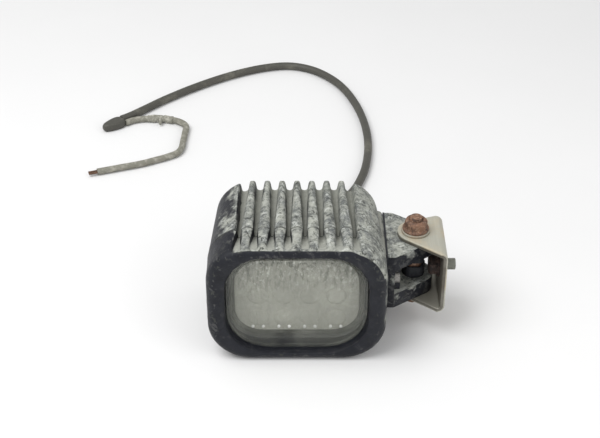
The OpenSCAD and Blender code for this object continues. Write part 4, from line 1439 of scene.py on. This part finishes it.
@dataclass
class SwivelBracket:
    """The bent strip and the bolts through it."""

    pivot: tuple[float, float] = (78.5, 8.5)
    low: float = 20.0
    high: float = 68.0
    thickness: float = 3.0
    web_x: float = 98.0
    web: tuple[float, float] = (-18.0, 26.0)
    nose: float = 12.0
    bend: float = 5.0
    bolt_r: float = 4.0
    web_hole: float = 4.25
    edge: float = 0.5
    mount_y: float = 4.0
    mount_z: float = 44.0
    thread_depth: float = 0.35
    bolt_head: tuple[Turn, ...] = (
        Turn(12.4, 6.3, 0.3), Turn(12.7, 6.9, 0.7), Turn(13.3, 7.5, 1), Turn(16.9, 7.5, 1), Turn(16.95, 8.6),
        Turn(17.3, 9.0), Turn(18.1, 9.0), Turn(18.4, 8.8), Turn(18.41, 4.0), Turn(69.5, 4.0))
    nut_foot: float = 69.6
    nut: tuple[Turn, ...] = (
        Turn(0, 8.3), Turn(0.3, 8.7), Turn(1.3, 8.7), Turn(1.9, 8.1), Turn(2.3, 7.9, 0.6), Turn(5.4, 7.9, 0.6),
        Turn(6.3, 7.5, 0.4), Turn(7.0, 6.9, 0.15), Turn(7.6, 6.1), Turn(7.9, 5.2), Turn(7.7, 4.6),
        Turn(7.2, 4.2))
    mount_head: tuple[Turn, ...] = (
        Turn(88.1, 6.3, 0.3), Turn(88.5, 7.1, 0.8), Turn(88.9, 7.5, 1), Turn(93.5, 7.5, 1),
        Turn(93.6, 7.2, 0.6), Turn(93.61, 4.19), Turn(98.4, 4.19), Turn(98.5, 4.0))

    def centreline(self) -> np.ndarray:
        """The strip's middle: straight flanges, quarter circles at the bends and the straight web.

        Returns:
            X, Z and the outward normal's X and Z at each row, upper flange first.
        """
        tip, half = self.pivot[0] - self.nose, self.thickness / 2
        start = np.arccos(np.linspace(1, -1, 20)) / np.pi
        run = tip + (self.web_x - self.bend - tip) * (1 - np.cos(start * np.pi / 2))
        upper = [(x, self.high - half, 0.0, 1.0) for x in run]
        cx, r = self.web_x - self.bend, self.bend - half
        turn = np.linspace(np.pi / 2, 0, 9)[1:]
        bend = [(cx + r * math.cos(a), self.high - self.bend + r * math.sin(a), math.cos(a), math.sin(a))
                for a in turn]
        down = [(self.web_x - half, z, 1.0, 0.0)
                for z in np.linspace(self.high - self.bend, (self.high + self.low) / 2, 8)[1:]]
        top = np.array(upper + bend + down)
        low = top[::-1][1:] * np.array([1, -1, 1, -1]) + np.array([0, self.high + self.low, 0, 0])
        return np.concatenate([top, low])

    def outline(self, x: np.ndarray) -> tuple[np.ndarray, np.ndarray]:
        """Front and rear limits of the strip: the nose's circle, then a straight line to the bend.

        The line leaves the circle where it touches it: at the angle towards the corner, turned by
        the angle whose cosine is the nose's radius over the distance.

        Args:
            x: Places along the flange.

        Returns:
            The front and the rear limit at each place.
        """
        px, py = self.pivot
        corner = self.web_x - self.bend
        limits = []
        for side, edge in ((-1, self.web[0]), (1, self.web[1])):
            away = math.hypot(corner - px, edge - py)
            angle = math.atan2(edge - py, corner - px) + side * math.acos(self.nose / away)
            tx, ty = px + self.nose * math.cos(angle), py + self.nose * math.sin(angle)
            circle = py + side * np.sqrt(np.maximum(self.nose**2 - (x - px) ** 2, 0))
            limits.append(np.where(x < tx, circle, np.interp(x, [tx, corner], [ty, edge])))
        return limits[0], limits[1]

    def build_strip(self, finish: bpy.types.Material) -> bpy.types.Object:
        """Sweeps a rectangle with rounded edges along the strip and bores its holes.

        Args:
            finish: Its material.

        Returns:
            The strip.
        """
        path = self.centreline()
        front, rear = self.outline(path[:, 0])
        half, e = self.thickness / 2, self.edge
        arc = np.linspace(np.pi / 2, -np.pi / 2, 7)
        u = np.concatenate([np.linspace(0, 1, 14), np.ones(7), np.linspace(1, 0, 14), np.zeros(7)])
        push = np.concatenate([np.zeros(14), np.cos(arc) * e, np.zeros(14), -np.cos(arc) * e])
        lift = np.concatenate([np.full(14, half), np.sign(np.sin(arc)) * (half - e) + e * np.sin(arc),
                               np.full(14, -half), -np.sign(np.sin(arc)) * (half - e) - e * np.sin(arc)])
        room = np.maximum(rear - front, 0.02)[:, None]
        inset = np.minimum(e, room / 2.2)
        y = front[:, None] + inset + (room - 2 * inset) * u[None] + push[None] * inset / e
        points = np.stack([path[:, :1] + lift * path[:, 2:3], y, path[:, 1:2] + lift * path[:, 3:4]], axis=-1)
        surface = Surface()
        # The inner face is marked low, and the strip's finish paints shade there.
        mark = np.broadcast_to(np.where(lift > 0, 0.8, 0.1), points.shape[:2])
        index = surface.grid(points, wrap=True, marks=np.array(mark))
        surface.cap_ends(index)
        piece = surface.build("bracket_strip", 30.0)
        bores = Surface()
        hole = self.bolt_r + 0.1
        turned(bores, (*self.pivot, 0.0), Axis.Z, [Turn(self.low - 2, hole), Turn(self.high + 2, hole)], 48)
        turned(bores, (0.0, self.mount_y, self.mount_z), Axis.X,
               [Turn(self.web_x - 8, self.web_hole), Turn(self.web_x + 2, self.web_hole)], 48)
        join_solid(piece, bores.build("bores"), Solid.CUT)
        dress(piece, finish)
        return settle(piece, Body.BRACKET, "bracket", "u_bracket")

    def thread(self, start: float, step: float, count: int, deep: int) -> list[Turn]:
        """A thread as rings that lie on its crests and in its valleys by turns.

        Args:
            start: Where its first ring lies.
            step: Distance between rings.
            count: How many rings it has.
            deep: 0 if it starts in a valley, 1 if it starts on a crest.

        Returns:
            The rings.
        """
        return [Turn(start + step * i, self.bolt_r - self.thread_depth * (i % 2 == deep)) for i in range(count)]

    def build_pivot(self, finish: bpy.types.Material) -> list[bpy.types.Object]:
        """Builds the pivot bolt with its threaded end, and the flanged nut.

        Args:
            finish: Both pieces' material.

        Returns:
            The bolt and the nut.
        """
        bolt, nut = Surface(), Surface()
        tip = [Turn(79.2, self.bolt_r), Turn(79.6, self.bolt_r - 0.6)]
        turned(bolt, (*self.pivot, 0.0), Axis.Z, [*self.bolt_head, *self.thread(69.6, 0.3, 31, 0), *tip], 60)
        turned(nut, (*self.pivot, self.nut_foot), Axis.Z, list(self.nut), 72, phase=0.35)
        made = []
        for surface, name, node in ((bolt, "bolt_through", "pivot_bolt"), (nut, "flange_nut", "pivot_nut")):
            piece = surface.build(name, 40.0)
            dress(piece, finish)
            made.append(settle(piece, Body.BRACKET, "rust", node))
        return made

    def build_mount(self, finish: bpy.types.Material) -> bpy.types.Object:
        """Builds the mounting bolt: head inside the web, threaded stub outside.

        Args:
            finish: Its material.

        Returns:
            The bolt.
        """
        surface = Surface()
        tip = [Turn(105.6, self.bolt_r), Turn(106.0, self.bolt_r - 0.6)]
        turned(surface, (0.0, self.mount_y, self.mount_z), Axis.X,
               [*self.mount_head, *self.thread(98.8, 0.31, 22, 1), *tip], 60)
        piece = surface.build("mount_stud", 40.0)
        dress(piece, finish)
        return settle(piece, Body.STUD, "dark_bolt", "mount_bolt")


@dataclass
class RubberBush:
    """A lobed rubber flange on a sleeve, with a bore for the spacer."""

    name: str
    node: str
    sleeve: tuple[float, float]
    flange: tuple[float, float]
    pivot: tuple[float, float] = (78.5, 8.5)
    bore: float = 5.56
    sleeve_r: float = 7.4
    flange_r: float = 7.0
    lobes: int = 5

    def build(self, finish: bpy.types.Material) -> bpy.types.Object:
        """Builds and dresses the bush.

        Args:
            finish: Its material.

        Returns:
            The bush.
        """
        surface = Surface()
        low, high = self.flange
        middle = (low + high) / 2
        flange = [Turn(low, self.bore), Turn(low, self.flange_r - 0.6), Turn(low + 0.5, self.flange_r),
                  Turn(middle, self.flange_r + 0.25), Turn(high - 0.5, self.flange_r),
                  Turn(high, self.flange_r - 0.6), Turn(high, self.bore)]
        turned(surface, (*self.pivot, 0.0), Axis.Z, flange, 80, self.lobes, 0.85, -0.35, capped=False)
        low, high = self.sleeve
        sleeve = [Turn(low, self.bore), Turn(low, self.sleeve_r), Turn(high, self.sleeve_r),
                  Turn(high, self.bore)]
        turned(surface, (*self.pivot, 0.0), Axis.Z, sleeve, 64, capped=False)
        piece = surface.build(self.name)
        dress(piece, finish)
        return settle(piece, Body.HEAD, "rubber", self.node)


@dataclass
class SoftCopy:
    """A CAD node with its edges rounded."""

    node: str
    body: Body
    slot: str
    width: float = 0.4
    segments: int = 3
    mark: float = 0.8

    def build(self, finish: bpy.types.Material) -> bpy.types.Object:
        """Copies the node's mesh, merges it, rounds its edges and dresses it.

        Args:
            finish: Its material.

        Returns:
            The copy.
        """
        source = bpy.data.objects[self.node]
        mesh = source.data.copy()
        mesh.transform(source.matrix_world)
        piece = bpy.data.objects.new("soft_" + self.node, mesh)
        bpy.context.collection.objects.link(piece)
        work = bmesh.new()
        work.from_mesh(mesh)
        bmesh.ops.remove_doubles(work, verts=work.verts, dist=1e-6)
        work.to_mesh(mesh)
        work.free()
        soften(piece, self.width, self.segments)
        mark = mesh.attributes.new("mark", "FLOAT", "POINT")
        mark.data.foreach_set("value", [self.mark] * len(mesh.vertices))
        dress(piece, finish)
        return settle(piece, self.body, self.slot, self.node)


@dataclass
class CableBoot:
    """The ribbed boot that leads the cable out of the gland nut."""

    place: tuple[float, float] = (22.0, 33.0)
    start: float = 56.0
    length: float = 26.0
    radius: float = 5.6
    tip: float = 4.3
    grooves: int = 5
    groove_pitch: float = 4.4
    core: float = 4.0

    def build(self, finish: bpy.types.Material) -> bpy.types.Object:
        """Builds the boot: a cone with grooves cut down to its core.

        Args:
            finish: Its material.

        Returns:
            The boot.
        """
        rings = [Turn(self.start, self.radius)]
        for i in range(self.grooves):
            y = self.start + 3 + self.groove_pitch * i
            reach = self.radius + (self.tip - self.radius) * (y - self.start) / self.length
            rings += [Turn(y - 0.35, reach), Turn(y, reach - 0.35), Turn(y + 0.3, self.core),
                      Turn(y + 1.3, self.core), Turn(y + 1.6, reach - 0.4), Turn(y + 1.95, reach - 0.1)]
        end = self.start + self.length
        rings += [Turn(end - 0.8, self.tip), Turn(end - 0.2, self.tip - 0.3), Turn(end, self.tip - 0.8)]
        surface = Surface()
        turned(surface, (self.place[0], 0.0, self.place[1]), Axis.Y, rings, 48)
        piece = surface.build("cable_boot", 50.0)
        dress(piece, finish)
        return settle(piece, Body.HEAD, "boot", "strain_relief")


@dataclass
class CableRun:
    """A free cable as one open spline."""

    name: str
    node: str
    slot: str
    route: list[Point]
    diameter: float
    exit_point: Point
    far_end: str
    stiffness: str

    def build(self, finish: bpy.types.Material, pieces: list[bpy.types.Object]) -> bpy.types.Object:
        """Args:
            finish: Its material.
            pieces: Not used.

        Returns:
            The curve object.
        """
        points = curve_through(self.route, 6)
        line = bpy.data.curves.new(self.name, "CURVE")
        line.dimensions = "3D"
        line.bevel_depth = self.diameter / 2 * MM
        line.bevel_resolution = 6
        line.use_fill_caps = True
        spline = line.splines.new("POLY")
        spline.points.add(len(points) - 1)
        flat = np.concatenate([points * MM, np.ones((len(points), 1))], axis=1)
        spline.points.foreach_set("co", flat.reshape(-1).astype(np.float32))
        spline.use_smooth = True
        cable = bpy.data.objects.new(self.name, line)
        bpy.context.collection.objects.link(cable)
        line.materials.append(finish)
        settle(cable, Body.HEAD, self.slot, self.node)
        return cable


@dataclass
class CableEnds:
    """What sits on the cables: the cap where they meet and the lumpy tape on the tail."""

    mouth: tuple[float, float] = (-147.5, 259.5)
    heading: float = -141.0
    length: float = 17.0
    width: float = 14.0
    tip: float = 3.6
    height: float = 7.0
    tape_span: tuple[float, float] = (-127.5, -105.5)
    tape_rows: int = 45
    tape_height: float = 3.0

    def build_cap(self, finish: bpy.types.Material) -> bpy.types.Object:
        """Builds the flattened cap: an egg-shaped outline that shrinks towards its top and underside.

        The outline's half width falls evenly from the mouth to the tip, times the sine of the
        angle to the power 0.55. A level's outline shrinks as one less the level's sine grows.

        Args:
            finish: Its material.

        Returns:
            The cap.
        """
        theta = np.linspace(0, 2 * np.pi, 56, endpoint=False)
        along = (1 - np.cos(theta)) / 2
        half = (self.width / 2 + (self.tip - self.width / 2) * along)
        rings = []
        for level in np.linspace(0, np.pi, 11):
            z = self.height / 2 * (1 - np.cos(level))
            shrink = 1 - 0.34 * (1 - np.sin(level)) ** 1.3
            u = along * (self.length + self.tip * 0.9)
            v = np.sign(np.sin(theta)) * half * np.abs(np.sin(theta)) ** 0.55
            mid_u = self.length * 0.5
            rings.append(np.stack([mid_u + (u - mid_u) * shrink, v * shrink, np.full_like(theta, z)], axis=-1))
        points = np.stack(rings)
        c, s = math.cos(math.radians(self.heading)), math.sin(math.radians(self.heading))
        placed = np.stack([self.mouth[0] + c * points[..., 0] - s * points[..., 1],
                           self.mouth[1] + s * points[..., 0] + c * points[..., 1], points[..., 2]], axis=-1)
        surface = Surface()
        index = surface.grid(placed, wrap=True)
        surface.cap_ends(index)
        piece = surface.build("joint_cap")
        dress(piece, finish)
        return settle(piece, Body.HEAD, "boot", "splice_cap")

    def build_tape(self, finish: bpy.types.Material) -> bpy.types.Object:
        """Builds the tape: a tube whose radius swells where it was wound twice, with a stuck-out end.

        The radius is the tail's plus steps where turns overlap plus two sine waves round it.

        Args:
            finish: Its material.

        Returns:
            The tape.
        """
        x = np.linspace(*self.tape_span, self.tape_rows)
        y = np.interp(x, [-131, -121, -110, -101.5], [263.6, 264, 262.6, 259])
        path = np.stack([x, y, np.full_like(x, self.tape_height)], axis=-1)
        steps = 0.25 * np.floor(np.abs(np.sin(0.55 * x)) * 3)
        theta = np.linspace(0, 2 * np.pi, 24, endpoint=False)
        wave = (0.22 * np.sin(3 * theta[None] + 0.9 * x[:, None])
                + 0.12 * np.sin(5 * theta[None] - 1.7 * x[:, None]))
        row = np.arange(self.tape_rows)
        ends = np.minimum(1, np.minimum(row, row[::-1]) / 2)[:, None]
        radius = 2.62 + ends * (0.25 + steps[:, None] * 0.8 + wave)
        points = tube_grid(path, radius, 24)
        points[..., 2] = np.maximum(points[..., 2], 0.0)
        surface = Surface()
        index = surface.grid(points, wrap=True)
        surface.cap_ends(index)
        end_route = [(-117.0, 262.5, 4.2), (-116.4, 259.5, 4.0), (-116.2, 257.2, 3.2), (-116.4, 255.4, 2.4)]
        stub = curve_through(end_route, 4)
        index = surface.grid(tube_grid(stub, np.linspace(1.5, 1.1, len(stub)), 14), wrap=True)
        surface.cap_ends(index)
        piece = surface.build("wound_tape", 60.0)
        dress(piece, finish)
        return settle(piece, Body.HEAD, "tape", "tape_wrap")


@dataclass
class Studio:
    """Floor, light and camera."""

    eye: Point = (0.002, -0.695, 0.570)
    tilt: float = 55.0
    lens: float = 78.3
    floor_half: float = 6.0
    floor_z: float = -0.0002

    def build_camera(self) -> None:
        """Makes the camera and sets it as the scene's."""
        data = bpy.data.cameras.new("camera")
        data.lens, data.sensor_width, data.dof.use_dof = self.lens, 36.0, False
        data.clip_start, data.clip_end = 0.01, 20.0
        camera = bpy.data.objects.new("camera", data)
        camera.location = self.eye
        camera.rotation_euler = (math.radians(self.tilt), 0.0, 0.0)
        bpy.context.collection.objects.link(camera)
        bpy.context.scene.camera = camera

    def build_floor(self) -> bpy.types.Object:
        """Makes the pale floor and stages it.

        Returns:
            The floor.
        """
        mesh = bpy.data.meshes.new("floor")
        corners = [(x * self.floor_half, y * self.floor_half, self.floor_z)
                   for x, y in ((-1, -1), (1, -1), (1, 1), (-1, 1))]
        mesh.from_pydata(corners, [], [(0, 1, 2, 3)])
        floor = bpy.data.objects.new("floor", mesh)
        bpy.context.collection.objects.link(floor)
        dress(floor, Moulded("floor_paper", (0.80, 0.80, 0.80), 0.7, 0.0, 0.005, 0.0, 4.0).build())
        return floor

    def light(self, name: str, place: Point, aim: Point, size: float, power: float) -> None:
        """Adds a square area light.

        Args:
            name: Its name.
            place: Where it stands.
            aim: What it looks at.
            size: Its side.
            power: Its power in watts.
        """
        data = bpy.data.lights.new(name, "AREA")
        data.shape, data.size, data.energy = "SQUARE", size, power
        lamp = bpy.data.objects.new(name, data)
        lamp.location = place
        way = np.array(aim) - np.array(place)
        flat = math.hypot(way[0], way[1])
        lamp.rotation_euler = (math.atan2(flat, -way[2]), 0.0, math.atan2(way[1], way[0]) - math.pi / 2)
        bpy.context.collection.objects.link(lamp)

    def build_light(self) -> None:
        """Sets an even white world, a soft key from the upper front left and a fill from the right."""
        world = bpy.data.worlds.new("white")
        world.use_nodes = True
        sky = world.node_tree.nodes["Background"]
        sky.inputs["Color"].default_value = (1.0, 1.0, 1.0, 1.0)
        sky.inputs["Strength"].default_value = 0.62
        bpy.context.scene.world = world
        self.light("key", (-0.55, -0.25, 1.15), (0.0, 0.03, 0.03), 0.9, 13.0)
        self.light("fill", (0.8, -0.6, 0.7), (0.0, 0.0, 0.05), 0.8, 3.0)
        bpy.context.scene.view_settings.view_transform = "Standard"


# Points listed along each cable, in millimetres.
CABLE_ROUTE = [(22, 6, 33), (22, 40, 33), (22, 66, 33), (22.5, 84, 32), (25, 102, 26), (30, 119, 16.5),
               (36, 134, 8.5), (42, 148, 4.4), (48, 163, 3.4), (54, 184, 3.4), (57.5, 210, 3.4),
               (58, 236, 3.4), (55.5, 262, 3.4), (50, 288, 3.4), (41, 314, 3.4), (29, 334, 3.4),
               (12, 350, 3.4), (-9, 357, 3.4), (-34, 352, 3.4), (-62, 338, 3.4), (-90, 318, 3.4),
               (-114, 297, 3.4), (-131, 279.5, 3.4), (-142, 268.3, 3.4), (-149.6, 262.1, 3.4)]
TAIL_ROUTE = [(-145.5, 257, 2.8), (-139.5, 261.4, 2.8), (-131, 263.6, 2.8), (-121, 264, 2.8),
              (-110, 262.6, 2.8), (-103, 260.6, 2.8), (-97, 256.2, 2.8), (-93.9, 250.5, 2.8),
              (-94.2, 240, 2.8), (-94.8, 228, 2.8), (-95.4, 216.5, 2.8), (-98.4, 209, 2.8),
              (-105.5, 203.6, 2.8), (-114, 199, 2.8), (-126, 193, 2.8), (-143, 187, 2.8), (-160, 181, 2.8)]


def build_cords() -> None:
    """Builds both cables with the pieces on them."""
    sheath = DirtyRubber("cable_sheath", (0.062, 0.060, 0.050), (0.135, 0.130, 0.105), 0.4, 0.5, 60.0).build()
    pale = DirtyRubber("tail_sheath", (0.20, 0.195, 0.16), (0.36, 0.35, 0.30), 0.5, 0.7, 200.0).build()
    tape = DirtyRubber("old_tape", (0.22, 0.215, 0.18), (0.45, 0.44, 0.38), 0.55, 0.75, 260.0).build()
    copper = Moulded("bare_copper", (0.15, 0.085, 0.055), 0.55, 0.6, 0.25, 0.3, 900.0).build()
    ends = CableEnds()
    cap = ends.build_cap(sheath)
    lead = CableRun("lamp_lead", "lamp_cable", "cable", CABLE_ROUTE, 6.5, (22, 32, 33), "connector", "medium")
    lead.build(sheath, [cap])
    wound = ends.build_tape(tape)
    cores = bpy.data.objects["tail_cores"]
    dress(cores, copper)
    tail = CableRun("cut_tail", "tail_lead", "tail", TAIL_ROUTE, 5.2, (-147, 258.5, 3.4), "bare", "medium")
    tail.build(pale, [wound, cores])


def build_head() -> None:
    """Builds the castings, lens, optics and gland."""
    shape = HeadShape()
    casting = MuddyCasting("muddy_casting", mud=0.56, wear=0.5, patch=0.26, side_bias=2.6,
                           clean_left=0.22).build()
    front = MuddyCasting("muddy_bezel", mud=0.46, wear=0.5, patch=0.15, side_bias=2.4, front_limit=-0.0423,
                         clean_left=0.42).build()
    RearHousing(shape).build(casting)
    FrontBezel(shape).build(front)
    optics = LensAndOptics()
    optics.build_lens(HazedLens("hazed_lens").build())
    # the near-white finish paints highlights on the dots along the optic plate's foot
    optics.build_optics(StreakedAcrylic("optic_acrylic").build(),
                        Moulded("prism_spark", (0.98, 0.98, 0.95), 0.15, 0.0, 0.05, 0.05, 90.0).build())
    boot = DirtyRubber("boot_rubber", share=0.3).build()
    CableBoot().build(boot)
    nylon = DirtyRubber("gland_nylon", (0.018, 0.018, 0.020), (0.13, 0.125, 0.105), 0.35, 0.5, 200.0).build()
    SoftCopy("gland_body", Body.HEAD, "gland", 0.5).build(nylon)
    SoftCopy("gland_nut", Body.HEAD, "gland", 0.5).build(nylon)


def build_swivel() -> None:
    """Builds the carrier, its bushes, the bracket and all bolts."""
    rubber = DirtyRubber("bush_rubber", (0.015, 0.017, 0.022), (0.10, 0.10, 0.09), 0.22, 0.62, 260.0).build()
    rust = RustySteel("rusted_steel").build()
    dark = RustySteel("dark_bolt", (0.018, 0.012, 0.011), (0.055, 0.033, 0.026), (0.15, 0.10, 0.08),
                      bright_from=0.0985).build()
    plate = PlatedStrip("plated_strip").build()
    worn_plate = PlatedStrip("washer_plate", (0.30, 0.28, 0.23), (0.30, 0.19, 0.11)).build()
    casting = MuddyCasting("carrier_casting", mud=0.47, wear=0.6, patch=0.42, side_bias=0.0, seam=-1.0).build()
    SoftCopy("side_carrier", Body.HEAD, "carrier", 0.9).build(casting)
    RubberBush("bush_top", "upper_bush", (53.7, 64.7), (45.5, 53.65)).build(rubber)
    RubberBush("bush_bottom", "lower_bush", (23.3, 34.3), (34.35, 42.5)).build(rubber)
    bracket = SwivelBracket()
    bracket.build_strip(plate)
    bracket.build_pivot(rust)
    bracket.build_mount(dark)
    SoftCopy("pivot_washers", Body.BRACKET, "washer", 0.25).build(worn_plate)
    SoftCopy("mount_washer", Body.STUD, "washer", 0.25).build(dark)
    dress(bpy.data.objects["spacer_tube"], rust)


def dress_kept_nodes() -> None:
    """Dresses the CAD nodes that stay as they are."""
    rubber = DirtyRubber("seal_rubber", share=0.2).build()
    steel = Moulded("screw_steel", (0.34, 0.33, 0.31), 0.42, 0.85, 0.2, 0.3, 700.0).build()
    plain = {
        "optic_tray": Moulded("tray_plastic", (0.030, 0.032, 0.026), 0.55),
        "led_board": Moulded("light_board", (0.55, 0.56, 0.52), 0.4),
        "led_emitters": Moulded("emitter_gel", (0.75, 0.62, 0.18), 0.35),
        "thermal_pad": Moulded("thermal_gum", (0.30, 0.32, 0.34), 0.8),
        "driver_board": Moulded("board_green", (0.03, 0.15, 0.06), 0.4),
        "driver_inductor": Moulded("ferrite", (0.05, 0.05, 0.052), 0.6),
        "driver_capacitors": Moulded("can_sleeve", (0.06, 0.08, 0.14), 0.35),
        "driver_chips": Moulded("chip_epoxy", (0.012, 0.012, 0.013), 0.5),
        "terminal_block": Moulded("terminal_nylon", (0.03, 0.26, 0.12), 0.45),
        "inner_wires": Moulded("wire_pvc", (0.45, 0.04, 0.03), 0.4),
        "breather_vent": Moulded("vent_nylon", (0.02, 0.02, 0.022), 0.5),
    }
    for node, finish in plain.items():
        dress(bpy.data.objects[node], finish.build())
    for node in ("bezel_seal", "lens_seal", "gland_seal", "carrier_pad"):
        dress(bpy.data.objects[node], rubber)
    for node in ("bezel_screws", "board_screws", "driver_screws", "carrier_screws"):
        dress(bpy.data.objects[node], steel)


def main() -> None:
    """Builds the scene."""
    logging.basicConfig(level=logging.INFO, format="%(name)s: %(message)s")
    studio = Studio()
    studio.build_camera()
    build_cords()
    build_head()
    build_swivel()
    dress_kept_nodes()
    studio.build_floor()
    studio.build_light()


if __name__ == "__main__":
    main()
